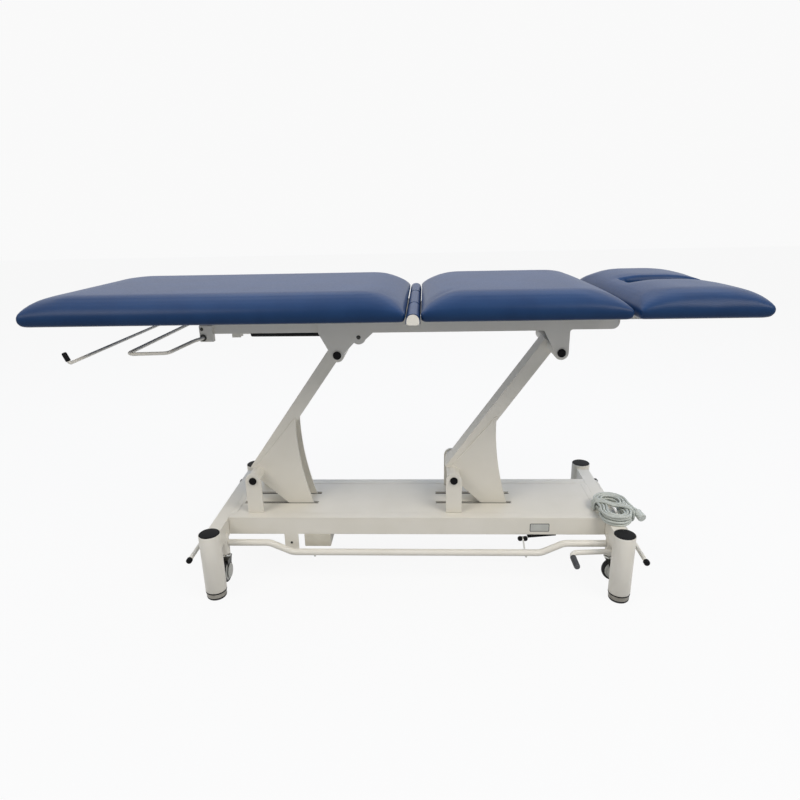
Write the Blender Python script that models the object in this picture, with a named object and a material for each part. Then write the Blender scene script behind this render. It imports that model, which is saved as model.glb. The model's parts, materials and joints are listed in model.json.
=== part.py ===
"""Hi-lo treatment table: three padded sections on a parallel-arm lift, standing on four columns.

Units are metres and +Z is up. +X points to the head end, -Y to the near long side, and the origin is on the
floor under the middle of the table. The table is modelled at the top of its travel with its sections flat.
"""

import math

import bmesh
import bpy
from mathutils import Matrix, Vector

# Clearances
SEAT_GAP = 0.0003
HOLE_CLEARANCE = 0.0003
ROUND_STEPS = 18
COLUMN_STEPS = 32

# Columns and feet
COLUMN_MIDDLE_X = 0.064
COLUMN_SPACING_X = 1.240
COLUMN_SPACING_Y = 0.5176
COLUMN_RADIUS = 0.032
COLUMN_TOP = 0.2204
FOOT_HEIGHT = 0.022
FOOT_RADIUS = 0.030
FOOT_EDGE = 0.004

# Base box between the columns
BASE_BOTTOM = 0.1487
BASE_TOP = 0.2072
BASE_WIDTH = 0.2832
BEAM_WIDTH = 0.040
RAIL_WIDTH = 0.030
COVER_THICKNESS = 0.003
SLOT_SIDE_CLEARANCE = 0.0015
SLOT_REACH_HEAD = 0.192
SLOT_REACH_FOOT = 0.055
STOP_PLATE_X = -0.336
STOP_PLATE_WIDTH = 0.045
STOP_PLATE_BOTTOM = 0.094
STOP_PLATE_THICKNESS = 0.006
CONTROL_BOX_X = -0.251
CONTROL_BOX_LENGTH = 0.085
CONTROL_BOX_DEPTH = 0.075
CONTROL_BOX_BOTTOM = 0.1037
BOX_EDGE = 0.002

# Lift arms
LOWER_PIVOT_X = -0.4544
LOWER_PIVOT_Z = 0.3201
ARM_SPACING = 0.6442
ARM_LENGTH = 0.5176
ARM_ANGLE = math.radians(54.45)
ARM_WIDTH = 0.068
ARM_DEPTH = 0.042
ARM_OFFSET = 0.010
LOWER_TUBE_RADIUS = 0.021
UPPER_TUBE_RADIUS = 0.0205
PIN_RADIUS = 0.008
PIN_HEAD_RADIUS = 0.012
PIN_HEAD_THICKNESS = 0.006
BRACKET_Y = 0.102
BRACKET_THICKNESS = 0.008
BRACKET_WIDTH = 0.050
FIN_Y = 0.0346
FIN_THICKNESS = 0.006
FIN_TOP_REACH = 0.235
FIN_WAIST = (0.130, 0.030)
FIN_EYE = (0.160, -0.140)
FIN_TIP_RADIUS = 0.026
FIN_ROOT_RADIUS = 0.018

# Linear actuator
ACTUATOR_SETBACK = 0.3258
ACTUATOR_PIVOT_Z = 0.165
ACTUATOR_BODY_LENGTH = 0.262
ACTUATOR_BODY_RADIUS = 0.022
ACTUATOR_ROD_RADIUS = 0.010
ACTUATOR_ROD_LENGTH = 0.252
ACTUATOR_BACK_WALL = 0.018
ACTUATOR_PIN_RADIUS = 0.006
ACTUATOR_EYE_RADIUS = 0.014
ACTUATOR_EYE_WIDTH = 0.044
ACTUATOR_LUG_Y = 0.016
ACTUATOR_LUG_THICKNESS = 0.006
ACTUATOR_LUG_WIDTH = 0.030
MOTOR_RADIUS = 0.018
MOTOR_LENGTH = 0.110
MOTOR_DROP = 0.038

# Side plates of the top
SIDE_PLATE_Y = 0.150
SIDE_PLATE_THICKNESS = 0.005
SIDE_PLATE_BOTTOM = 0.807
SIDE_PLATE_TOP = 0.846
LOBE_RADIUS = 0.0205
LOBE_STEP = 0.001
LOBE_ROOT_FOOT = 0.052
LOBE_FILLET = 0.008
SIDE_PLATE_END_RADIUS = 0.020
ANCHOR_X = -0.089
ANCHOR_Z = 0.794
ANCHOR_RADIUS = 0.008
ANCHOR_BOSS_RADIUS = 0.021
MID_RAIL_WIDTH = 0.030
MID_RAIL_HEIGHT = 0.030
MID_FRAME_FOOT_X = 0.112
MID_FRAME_HEAD_X = 0.600
MID_CROSS_WIDTH = 0.030

# Pads
PAD_BOTTOM = 0.864
PAD_THICKNESS = 0.076
PAD_WIDTH = 0.660
PAD_EDGE_HEIGHT = 0.018
PAD_CROWN_REACH = 0.180
PAD_CROWN_POWER = 1.85
PAD_END_SHARE = 0.47
PAD_BOTTOM_INSET = 0.012
PAD_CORNER_RADIUS = 0.012
PAD_SIDE_DRAW = 0.004
PAD_CROWN_RINGS = 7
PAD_SIDE_STEPS = 8
PAD_CORNER_STEPS = 4
TABLE_LENGTH = 1.930
HINGE_GAP = 0.040
HEAD_GAP = 0.014
FACE_SLOT_START = 0.694
FACE_SLOT_WIDTH = 0.100
FACE_SLOT_CORNER = 0.008

# Long section
HINGE_X = 0.0715
HINGE_Z = 0.872
HINGE_TUBE_RADIUS = 0.010
HINGE_ARM_RADIUS = 0.016
HINGE_ARM_THICKNESS = 0.008
HINGE_LUG_RADIUS = 0.014
HINGE_LUG_HALF = 0.0125
HINGE_LUG_THICKNESS = 0.006
LONG_RAIL_Y = 0.138
LONG_RAIL_WIDTH = 0.020
LONG_RAIL_BOTTOM = 0.807
LONG_RAIL_FOOT_X = -0.553
LONG_RAIL_HEAD_X = 0.035
LONG_CROSS_WIDTH = 0.030
LONG_CROSS_HEIGHT = 0.036
SPRING_Y = -0.065
SPRING_ROD_SHOW = 0.0425
SPRING_END_Z = 0.796
SPRING_RADIUS = 0.013
SPRING_ROD_RADIUS = 0.005
SPRING_EYE_RADIUS = 0.0125
SPRING_EYE_WIDTH = 0.016
SPRING_BODY_LENGTH = 0.335
SPRING_ROD_LENGTH = 0.255
SPRING_BORE_SPARE = 0.0225
CLEVIS_THICKNESS = 0.005
CLEVIS_WIDTH = 0.026

# Release bail
BAIL_PIVOT_X = -0.543
BAIL_PIVOT_Z = 0.797
BAIL_Y = 0.151
BAIL_RADIUS = 0.005
BAIL_SPLAY_Y = 0.250
BAIL_BAR_X = -0.7235
BAIL_BAR_Z = 0.775
BAIL_PATH = ((BAIL_PIVOT_X, BAIL_Y, BAIL_PIVOT_Z), (-0.568, 0.153, 0.790), (-0.611, 0.241, BAIL_BAR_Z))
BAIL_BEND = 0.022
BAIL_BRACKET_THICKNESS = 0.006
BAIL_BRACKET_WIDTH = 0.039
BAIL_BRACKET_BOTTOM = 0.785
BAIL_BRACKET_TOP = 0.832

# Paper-roll holder
HOLDER_X = -0.846
HOLDER_Z = 0.768
HOLDER_NEAR_Y = -0.318
HOLDER_FAR_Y = 0.290
HOLDER_ROOT_X = -0.535
HOLDER_ROOT_Z = 0.835
HOLDER_RADIUS = 0.0045
HOLDER_TIP_RISE = 0.026
HOLDER_TIP_LEAN = 0.010
HOLDER_BEND = 0.024
HOLDER_TIP_BEND = 0.007

# Head section
MID_SECTION_LENGTH = 0.5625
HEAD_HINGE_Z = 0.850
HEAD_ROD_RADIUS = 0.007
HEAD_KNUCKLE_RADIUS = 0.0135
HEAD_RAIL_HEIGHT = 0.030
HEAD_RAIL_END_X = 0.930
HEAD_CROSS_X = 0.655
HEAD_CROSS_WIDTH = 0.025
HEAD_CROSS_HEIGHT = 0.020

# Casters
CASTER_INSET_X = 0.010
CASTER_Y = 0.170
CASTER_TRAIL = 0.018
WHEEL_RADIUS = 0.0375
WHEEL_WIDTH = 0.020
WHEEL_LIFT = 0.006
WHEEL_EDGE = 0.003
AXLE_RADIUS = 0.004
FORK_CHEEK = 0.003
FORK_SIDE_GAP = 0.0012
FORK_CROWN_GAP = 0.0025
FORK_CROWN_THICKNESS = 0.003
FORK_CROWN_RADIUS = 0.012
FORK_AXLE_RADIUS = 0.009
STEM_RADIUS = 0.008
STEM_FLANGE_RADIUS = 0.014
STEM_FLANGE_THICKNESS = 0.0065
STEM_TOP_GAP = 0.0015
SLEEVE_RADIUS = 0.014
SLEEVE_BOTTOM = 0.098
SLEEVE_ROOF = 0.0012
CASTER_TURN = {"near_left": 0.0, "near_right": 90.0, "far_left": 0.0, "far_right": 25.0}

# Caster pedals
PEDAL_SHAFT_OFFSET = 0.030
PEDAL_SHAFT_Z = 0.128
PEDAL_SHAFT_RADIUS = 0.007
PEDAL_SHAFT_LENGTH = 0.410
PEDAL_LUG_Y = 0.140
PEDAL_LUG_THICKNESS = 0.006
PEDAL_LUG_RADIUS = 0.011
PEDAL_BAR_OFFSET = 0.065
PEDAL_BAR_Z = 0.136
PEDAL_BAR_RADIUS = 0.0065
PEDAL_BAR_LENGTH = 0.567
PEDAL_KNOB_RADIUS = 0.009
PEDAL_KNOB_LENGTH = 0.013
PEDAL_ARM_Y = 0.110
PEDAL_ARM_RADIUS = 0.0052
PEDAL_ARM_LAP = 0.0012
LEVER_RADIUS = 0.009
LEVER_Y = -0.200
LEVER_CORNER_X = 0.548
LEVER_CORNER_Z = 0.120
LEVER_TIP_Y = -0.279
LEVER_BEND = 0.020

# Foot control
FOOT_BAR_Y = 0.170
FOOT_BAR_Z = 0.135
FOOT_BAR_RADIUS = 0.0105
FOOT_BAR_DROP = 0.034
FOOT_BAR_BENDS = (-0.400, -0.327, 0.461, 0.5315)
FOOT_BAR_BEND = 0.050
SWITCH_X = 0.468
SWITCH_LENGTH = 0.092
SWITCH_DEPTH = 0.028
SWITCH_HEIGHT = 0.011
SWITCH_BALL_RADIUS = 0.0055
SWITCH_BALL_X = 0.414
SWITCH_BALL_Y = -0.149
SWITCH_LINK_RADIUS = 0.002
SWITCH_LINK_DROP = 0.030

# Mains lead
CORD_DIAMETER = 0.008
HANK_X = 0.690
HANK_Y = -0.115
HANK_RUN = 0.070
HANK_FOLD_RADIUS = 0.026
HANK_STEP = 0.0098
HANK_LAYER_RISE = 0.0092
HANK_LAYERS = 4
HANK_LOOPS_A_LAYER = 2
HANK_WAIST = 0.006
HANK_RUN_POINTS = 5
HANK_FOLD_POINTS = 7
GLAND_Y = 0.045
GLAND_Z = 0.182
GLAND_LENGTH = 0.028
GLAND_RADIUS = 0.010
LEAD_POINTS = ((0.752, 0.0445, 0.182), (0.768, 0.035, 0.184), (0.775, 0.014, 0.189), (0.769, -0.010, 0.196),
               (0.755, -0.035, 0.204), (0.742, -0.058, 0.2105))
TAIL_POINTS = ((0.7412, -0.093, 0.2388), (0.7435, -0.106, 0.2375))
PLUG_START = (0.7515, -0.128, 0.2335)
PLUG_HEADING = (0.30, -0.92, -0.25)
PLUG_LENGTH = 0.045
PLUG_RADIUS = 0.013
PLUG_NECK_RADIUS = 0.0065
PLUG_NECK_LENGTH = 0.014

# Worked-out places
COLUMN_X = {"left": COLUMN_MIDDLE_X - COLUMN_SPACING_X / 2, "right": COLUMN_MIDDLE_X + COLUMN_SPACING_X / 2}
OUTWARD = {"left": -1.0, "right": 1.0}
SIDE = {"near": -1.0, "far": 1.0}
COLUMN_Y = COLUMN_SPACING_Y / 2
BASE_Y = BASE_WIDTH / 2
COVER_BOTTOM = BASE_TOP - COVER_THICKNESS
BASE_FOOT_X = COLUMN_X["left"] + BEAM_WIDTH / 2 + SEAT_GAP
BASE_HEAD_X = COLUMN_X["right"] - BEAM_WIDTH / 2 - SEAT_GAP
PIVOT_X = {"left": LOWER_PIVOT_X, "right": LOWER_PIVOT_X + ARM_SPACING}
ACTUATOR_PIVOT_X = PIVOT_X["right"] - ACTUATOR_SETBACK
SPRING_END_X = ANCHOR_X - SPRING_BODY_LENGTH - SPRING_ROD_SHOW
SPRING_BORE_START = SPRING_BODY_LENGTH + SPRING_ROD_SHOW - SPRING_ROD_LENGTH - SPRING_BORE_SPARE
ARM_RUN = ARM_LENGTH * math.cos(ARM_ANGLE)
ARM_RISE = ARM_LENGTH * math.sin(ARM_ANGLE)
UPPER_PIVOT_Z = LOWER_PIVOT_Z + ARM_RISE
PLATE_INNER_Y = SIDE_PLATE_Y - SIDE_PLATE_THICKNESS
HEAD_HINGE_X = HINGE_X + MID_SECTION_LENGTH
PAD_X = {
    "long": (-TABLE_LENGTH / 2, HINGE_X - HINGE_GAP / 2),
    "mid": (HINGE_X + HINGE_GAP / 2, HEAD_HINGE_X - HEAD_GAP / 2),
    "head": (HEAD_HINGE_X + HEAD_GAP / 2, TABLE_LENGTH / 2),
}
FRAME_TOP = PAD_BOTTOM - SEAT_GAP
WHEEL_Z = WHEEL_RADIUS + WHEEL_LIFT
FORK_TOP = WHEEL_Z + WHEEL_RADIUS + FORK_CROWN_GAP + FORK_CROWN_THICKNESS
CORD_RADIUS = CORD_DIAMETER / 2

# Colours, roughness and metallic values
FINISHES = {
    "painted_steel": ((0.69, 0.68, 0.62), 0.45, 0.0),
    "navy_vinyl": ((0.035, 0.085, 0.22), 0.5, 0.0),
    "black_plastic": ((0.015, 0.015, 0.017), 0.45, 0.0),
    "grey_plastic": ((0.36, 0.37, 0.35), 0.5, 0.0),
    "zinc_steel": ((0.45, 0.45, 0.43), 0.35, 1.0),
    "black_rubber": ((0.02, 0.02, 0.02), 0.8, 0.0),
    "cord_pvc": ((0.42, 0.44, 0.42), 0.5, 0.0),
}

for old in list(bpy.data.objects):
    bpy.data.objects.remove(old, do_unlink=True)
parts = bpy.data.collections.new("hi_lo_treatment_table")
bpy.context.scene.collection.children.link(parts)


def make_finish(name):
    colour, roughness, metallic = FINISHES[name]
    finish = bpy.data.materials.new(name)
    finish.use_nodes = True
    shader = finish.node_tree.nodes["Principled BSDF"]
    shader.inputs["Base Color"].default_value = (*colour, 1.0)
    shader.inputs["Roughness"].default_value = roughness
    shader.inputs["Metallic"].default_value = metallic
    return finish


finishes = {name: make_finish(name) for name in FINISHES}


# Modelling helpers

def add_object(name, data):
    obj = bpy.data.objects.new(name, data)
    parts.objects.link(obj)
    return obj


def from_bmesh(name, shape):
    bmesh.ops.recalc_face_normals(shape, faces=shape.faces)
    mesh = bpy.data.meshes.new(name)
    shape.to_mesh(mesh)
    shape.free()
    return add_object(name, mesh)


def evaluated_mesh(obj):
    """The object's mesh with its modifiers and curve bevels, welded, in world space."""
    bpy.context.view_layer.update()
    graph = bpy.context.evaluated_depsgraph_get()
    mesh = bpy.data.meshes.new_from_object(obj.evaluated_get(graph))
    mesh.transform(obj.matrix_world)
    shape = bmesh.new()
    shape.from_mesh(mesh)
    bmesh.ops.remove_doubles(shape, verts=shape.verts, dist=0.000002)
    bmesh.ops.recalc_face_normals(shape, faces=shape.faces)
    shape.to_mesh(mesh)
    shape.free()
    return mesh


def to_solid(curve_object):
    """Turn a curve object into a welded mesh object of the same name."""
    name = curve_object.name
    mesh = evaluated_mesh(curve_object)
    bpy.data.objects.remove(curve_object, do_unlink=True)
    return add_object(name, mesh)


def combine(target, others, operation):
    """Join to, or cut from, the target with each of the other solids, which are used up."""
    for other in others:
        boolean = target.modifiers.new("shape", "BOOLEAN")
        boolean.operation = operation
        boolean.object = other
        mesh = evaluated_mesh(target)
        target.modifiers.clear()
        target.data = mesh
        bpy.data.objects.remove(other, do_unlink=True)
    return target


def join(target, *others):
    return combine(target, others, "UNION")


def cut(target, *others):
    return combine(target, others, "DIFFERENCE")


def box(name, low, high, edge=0.0):
    low, high = Vector(low), Vector(high)
    shape = bmesh.new()
    place = Matrix.Translation((low + high) / 2) @ Matrix.Diagonal((*(high - low), 1.0))
    bmesh.ops.create_cube(shape, size=1.0, matrix=place)
    if edge:
        bmesh.ops.bevel(shape, geom=shape.edges[:], offset=edge, segments=1, affect="EDGES")
    return from_bmesh(name, shape)


def cylinder(name, start, end, radius, end_radius=None, steps=ROUND_STEPS):
    start, end = Vector(start), Vector(end)
    along = end - start
    turn = along.to_track_quat("Z", "Y").to_matrix().to_4x4()
    shape = bmesh.new()
    bmesh.ops.create_cone(
        shape, cap_ends=True, segments=steps, radius1=radius,
        radius2=radius if end_radius is None else end_radius, depth=along.length,
        matrix=Matrix.Translation((start + end) / 2) @ turn)
    return from_bmesh(name, shape)


def cross_rod(name, x, z, y_low, y_high, radius):
    """A round bar across the table, along Y."""
    return cylinder(name, (x, y_low, z), (x, y_high, z), radius)


def plate(name, outline, low, high, across="Y"):
    """A flat outline made thick across one axis: (x, z) points across Y, (y, z) points across X."""
    curve = bpy.data.curves.new(name, "CURVE")
    curve.dimensions = "2D"
    curve.fill_mode = "BOTH"
    curve.extrude = (high - low) / 2
    spline = curve.splines.new("POLY")
    spline.points.add(len(outline) - 1)
    for point, (first, second) in zip(spline.points, outline):
        point.co = (first, second, 0.0, 1.0)
    spline.use_cyclic_u = True
    obj = add_object(name, curve)
    middle = (low + high) / 2
    if across == "Y":
        obj.matrix_world = Matrix.Translation((0, middle, 0)) @ Matrix.Rotation(math.pi / 2, 4, "X")
    else:
        upright = Matrix.Rotation(math.pi / 2, 4, "Z") @ Matrix.Rotation(math.pi / 2, 4, "X")
        obj.matrix_world = Matrix.Translation((middle, 0, 0)) @ upright
    return to_solid(obj)


def tube(name, points, radius, resolution=2):
    """A round bar or cord along a list of points, closed at both ends."""
    curve = bpy.data.curves.new(name, "CURVE")
    curve.dimensions = "3D"
    curve.bevel_depth = radius
    curve.bevel_resolution = resolution
    curve.use_fill_caps = True
    spline = curve.splines.new("POLY")
    spline.points.add(len(points) - 1)
    for point, place in zip(spline.points, points):
        point.co = (*place, 1.0)
    return to_solid(add_object(name, curve))


def arc(centre, radius, start, end, steps):
    """Points round a centre from one angle to another, in degrees."""
    points = []
    for step in range(steps + 1):
        angle = math.radians(start + (end - start) * step / steps)
        points.append((centre[0] + radius * math.cos(angle), centre[1] + radius * math.sin(angle)))
    return points


def bent(corners, radius, steps=5):
    """A path through the corners with each inner corner rounded."""
    corners = [Vector(corner) for corner in corners]
    path = [corners[0]]
    for before, corner, after in zip(corners, corners[1:], corners[2:]):
        to_before = (before - corner).normalized()
        to_after = (after - corner).normalized()
        half = to_before.angle(to_after) / 2
        reach = radius / math.tan(half)
        centre = corner + (to_before + to_after).normalized() * (radius / math.sin(half))
        first = corner + to_before * reach - centre
        last = corner + to_after * reach - centre
        sweep = first.angle(last)
        for step in range(steps + 1):
            share = step / steps
            weight_first = math.sin((1 - share) * sweep) / math.sin(sweep)
            weight_last = math.sin(share * sweep) / math.sin(sweep)
            path.append(centre + first * weight_first + last * weight_last)
    path.append(corners[-1])
    return path


def finish_part(obj, finish, sharp_angle=35.0):
    obj.data.materials.clear()
    obj.data.materials.append(finishes[finish])
    obj.data.shade_smooth()
    obj.data.set_sharp_from_angle(angle=math.radians(sharp_angle))
    return obj


def pivot(name, place, parent=None):
    """An empty on a joint's axis, which carries what turns or slides there."""
    empty = add_object(name, None)
    empty.empty_display_size = 0.03
    empty.location = place
    bpy.context.view_layer.update()
    if parent:
        hold(parent, empty)
    return empty


def hold(carrier, *children):
    bpy.context.view_layer.update()
    for child in children:
        child.parent = carrier
        child.matrix_parent_inverse = carrier.matrix_world.inverted()


# Base

def build_columns():
    for end, x in COLUMN_X.items():
        for side, sign in SIDE.items():
            y = sign * COLUMN_Y
            column = cylinder(f"column_{side}_{end}", (x, y, FOOT_HEIGHT + SEAT_GAP), (x, y, COLUMN_TOP),
                              COLUMN_RADIUS,
                              steps=COLUMN_STEPS)
            finish_part(column, "painted_steel")
            foot = cylinder(f"foot_{side}_{end}", (x, y, FOOT_EDGE), (x, y, FOOT_HEIGHT), FOOT_RADIUS)
            sole = cylinder("sole", (x, y, 0.0), (x, y, FOOT_EDGE + SEAT_GAP), FOOT_RADIUS - FOOT_EDGE,
                            FOOT_RADIUS)
            finish_part(join(foot, sole), "grey_plastic")


def build_end_beams():
    """Beams from column to column, with the caster sleeves and the pedal shaft's lugs under them."""
    for end, x in COLUMN_X.items():
        half = BEAM_WIDTH / 2
        beam = box(f"end_beam_{end}", (x - half, -COLUMN_Y, BASE_BOTTOM), (x + half, COLUMN_Y, BASE_TOP))
        sockets = [
            cylinder("socket", (x, sign * COLUMN_Y, 0.0), (x, sign * COLUMN_Y, COLUMN_TOP + BASE_TOP),
                     COLUMN_RADIUS + SEAT_GAP, steps=COLUMN_STEPS)
            for sign in SIDE.values()]
        cut(beam, *sockets)
        shaft_x = x + OUTWARD[end] * PEDAL_SHAFT_OFFSET
        caster_x = x - OUTWARD[end] * CASTER_INSET_X
        added, holes = [], []
        for sign in SIDE.values():
            added.append(cylinder("sleeve", (caster_x, sign * CASTER_Y, SLEEVE_BOTTOM),
                                  (caster_x, sign * CASTER_Y, BASE_BOTTOM + half), SLEEVE_RADIUS))
            holes.append(cylinder("stem_bore", (caster_x, sign * CASTER_Y, 0.0),
                                  (caster_x, sign * CASTER_Y, BASE_BOTTOM - SLEEVE_ROOF),
                                  STEM_RADIUS + HOLE_CLEARANCE))
            lug_low = sign * PEDAL_LUG_Y - PEDAL_LUG_THICKNESS / 2
            lug_high = sign * PEDAL_LUG_Y + PEDAL_LUG_THICKNESS / 2
            reach = sorted((x, shaft_x))
            added.append(box("lug", (reach[0], lug_low, PEDAL_SHAFT_Z), (reach[1], lug_high,
                                                                         BASE_BOTTOM + half)))
            added.append(cross_rod("lug_end", shaft_x, PEDAL_SHAFT_Z, lug_low, lug_high, PEDAL_LUG_RADIUS))
        join(beam, *added)
        holes.append(cross_rod("shaft_hole", shaft_x, PEDAL_SHAFT_Z, -COLUMN_Y, COLUMN_Y,
                               PEDAL_SHAFT_RADIUS + HOLE_CLEARANCE))
        finish_part(cut(beam, *holes), "painted_steel")


def build_base_box():
    for side, sign in SIDE.items():
        outer, inner = sign * BASE_Y, sign * (BASE_Y - RAIL_WIDTH)
        rail = box(f"base_rail_{side}", (BASE_FOOT_X, min(outer, inner), BASE_BOTTOM),
                   (BASE_HEAD_X, max(outer, inner), COVER_BOTTOM - SEAT_GAP))
        if side == "near":
            join(rail, box("stop_plate", (STOP_PLATE_X - STOP_PLATE_WIDTH / 2, outer, STOP_PLATE_BOTTOM),
                           (STOP_PLATE_X + STOP_PLATE_WIDTH / 2, outer + STOP_PLATE_THICKNESS,
                            COVER_BOTTOM - BOX_EDGE)))
        finish_part(rail, "painted_steel")
    cover = box("base_cover", (BASE_FOOT_X, -BASE_Y, COVER_BOTTOM), (BASE_HEAD_X, BASE_Y, BASE_TOP))
    lug_outline = [
        (ACTUATOR_PIVOT_X - ACTUATOR_LUG_WIDTH / 2, COVER_BOTTOM + COVER_THICKNESS / 2),
        *arc((ACTUATOR_PIVOT_X, ACTUATOR_PIVOT_Z), ACTUATOR_LUG_WIDTH / 2, 180, 360, 8),
        (ACTUATOR_PIVOT_X + ACTUATOR_LUG_WIDTH / 2, COVER_BOTTOM + COVER_THICKNESS / 2)]
    lugs = [
        plate("lug", lug_outline, sign * ACTUATOR_LUG_Y - ACTUATOR_LUG_THICKNESS / 2,
              sign * ACTUATOR_LUG_Y + ACTUATOR_LUG_THICKNESS / 2)
        for sign in SIDE.values()]
    join(cover, *lugs)
    half_slot = FIN_THICKNESS / 2 + SLOT_SIDE_CLEARANCE
    openings = [cross_rod("pin_hole", ACTUATOR_PIVOT_X, ACTUATOR_PIVOT_Z, -BASE_Y, BASE_Y,
                          ACTUATOR_PIN_RADIUS + HOLE_CLEARANCE)]
    for x in PIVOT_X.values():
        for sign in SIDE.values():
            openings.append(box("slot", (x - SLOT_REACH_FOOT, sign * FIN_Y - half_slot, BASE_BOTTOM),
                                (x + SLOT_REACH_HEAD, sign * FIN_Y + half_slot, COLUMN_TOP)))
    finish_part(cut(cover, *openings), "painted_steel")
    control_box = box(
        "control_box", (CONTROL_BOX_X - CONTROL_BOX_LENGTH / 2, -BASE_Y, CONTROL_BOX_BOTTOM),
        (CONTROL_BOX_X + CONTROL_BOX_LENGTH / 2, CONTROL_BOX_DEPTH - BASE_Y,
         BASE_BOTTOM - SEAT_GAP), BOX_EDGE)
    finish_part(control_box, "grey_plastic")


# Lift

def build_brackets():
    half = BRACKET_WIDTH / 2
    for arm, x in PIVOT_X.items():
        for side, sign in SIDE.items():
            outline = [(x - half, BASE_TOP + SEAT_GAP), (x + half, BASE_TOP + SEAT_GAP),
                       *arc((x, LOWER_PIVOT_Z), half, 0, 180, 12)]
            low = sign * BRACKET_Y - BRACKET_THICKNESS / 2
            bracket = plate(f"pivot_bracket_{side}_{arm}", outline, low, low + BRACKET_THICKNESS)
            hole = cross_rod("pin_hole", x, LOWER_PIVOT_Z, -BASE_WIDTH, BASE_WIDTH,
                             PIN_RADIUS + HOLE_CLEARANCE)
            finish_part(cut(bracket, hole), "painted_steel")


def build_pin(name, x, z, outer_y):
    """A pivot pin with a round cap outside the plate at each end."""
    reach = outer_y + SEAT_GAP
    pin = cross_rod(name, x, z, -reach - PIN_HEAD_THICKNESS / 2, reach + PIN_HEAD_THICKNESS / 2, PIN_RADIUS)
    caps = [
        cross_rod("cap", x, z, min(sign * reach, sign * (reach + PIN_HEAD_THICKNESS)),
                  max(sign * reach, sign * (reach + PIN_HEAD_THICKNESS)), PIN_HEAD_RADIUS)
        for sign in SIDE.values()]
    return finish_part(join(pin, *caps), "black_plastic")


def arm_point(arm, along, across):
    """A point of an arm in side view, along it from its lower pivot and square to it."""
    x = PIVOT_X[arm] + along * math.cos(ARM_ANGLE) - across * math.sin(ARM_ANGLE)
    z = LOWER_PIVOT_Z + along * math.sin(ARM_ANGLE) + across * math.cos(ARM_ANGLE)
    return x, z


def fin_outline(arm):
    """The fin under an arm: hollow towards the head end, round at the eye, straight at the foot end."""
    x, z = PIVOT_X[arm], LOWER_PIVOT_Z
    eye = (x + FIN_EYE[0], z + FIN_EYE[1])
    top = arm_point(arm, FIN_TOP_REACH, 0.0)
    waist = (x + FIN_WAIST[0], z + FIN_WAIST[1])
    end = (eye[0] + FIN_TIP_RADIUS, eye[1])
    hollow = []
    for step in range(9):
        t = step / 9
        hollow.append(tuple(
            (1 - t) ** 2 * top[i] + 2 * t * (1 - t) * waist[i] + t ** 2 * end[i] for i in range(2)))
    return [*arc((x, z), FIN_ROOT_RADIUS, 230, 130, 4), *hollow, *arc(eye, FIN_TIP_RADIUS, 0, -135, 6)]


def build_arms():
    for arm in PIVOT_X:
        across_low = ARM_OFFSET - ARM_DEPTH / 2
        across_high = ARM_OFFSET + ARM_DEPTH / 2
        outline = [arm_point(arm, 0.0, across_low), arm_point(arm, ARM_LENGTH, across_low),
                   arm_point(arm, ARM_LENGTH, across_high), arm_point(arm, 0.0, across_high)]
        body = plate(f"lift_arm_{arm}", outline, -ARM_WIDTH / 2, ARM_WIDTH / 2)
        lower_reach = BRACKET_Y - BRACKET_THICKNESS / 2 - SEAT_GAP
        upper_reach = PLATE_INNER_Y - SEAT_GAP
        upper_x, upper_z = arm_point(arm, ARM_LENGTH, 0.0)
        fins = [
            plate("fin", fin_outline(arm), sign * FIN_Y - FIN_THICKNESS / 2,
                  sign * FIN_Y + FIN_THICKNESS / 2)
            for sign in SIDE.values()]
        join(body,
             cross_rod("lower_tube", PIVOT_X[arm], LOWER_PIVOT_Z, -lower_reach, lower_reach,
                       LOWER_TUBE_RADIUS),
             cross_rod("upper_tube", upper_x, upper_z, -upper_reach, upper_reach, UPPER_TUBE_RADIUS), *fins)
        cut(body,
            cross_rod("bore", PIVOT_X[arm], LOWER_PIVOT_Z, -BASE_WIDTH, BASE_WIDTH,
                      PIN_RADIUS + HOLE_CLEARANCE),
            cross_rod("bore", upper_x, upper_z, -BASE_WIDTH, BASE_WIDTH, PIN_RADIUS + HOLE_CLEARANCE))
        finish_part(body, "painted_steel")
        lower_pin = build_pin(f"lower_pin_{arm}", PIVOT_X[arm], LOWER_PIVOT_Z,
                              BRACKET_Y + BRACKET_THICKNESS / 2)
        build_pin(f"upper_pin_{arm}", upper_x, upper_z, SIDE_PLATE_Y)
        axis = pivot(f"lift_axis_{arm}", (PIVOT_X[arm], 0.0, LOWER_PIVOT_Z))
        hold(axis, body, lower_pin)


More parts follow.
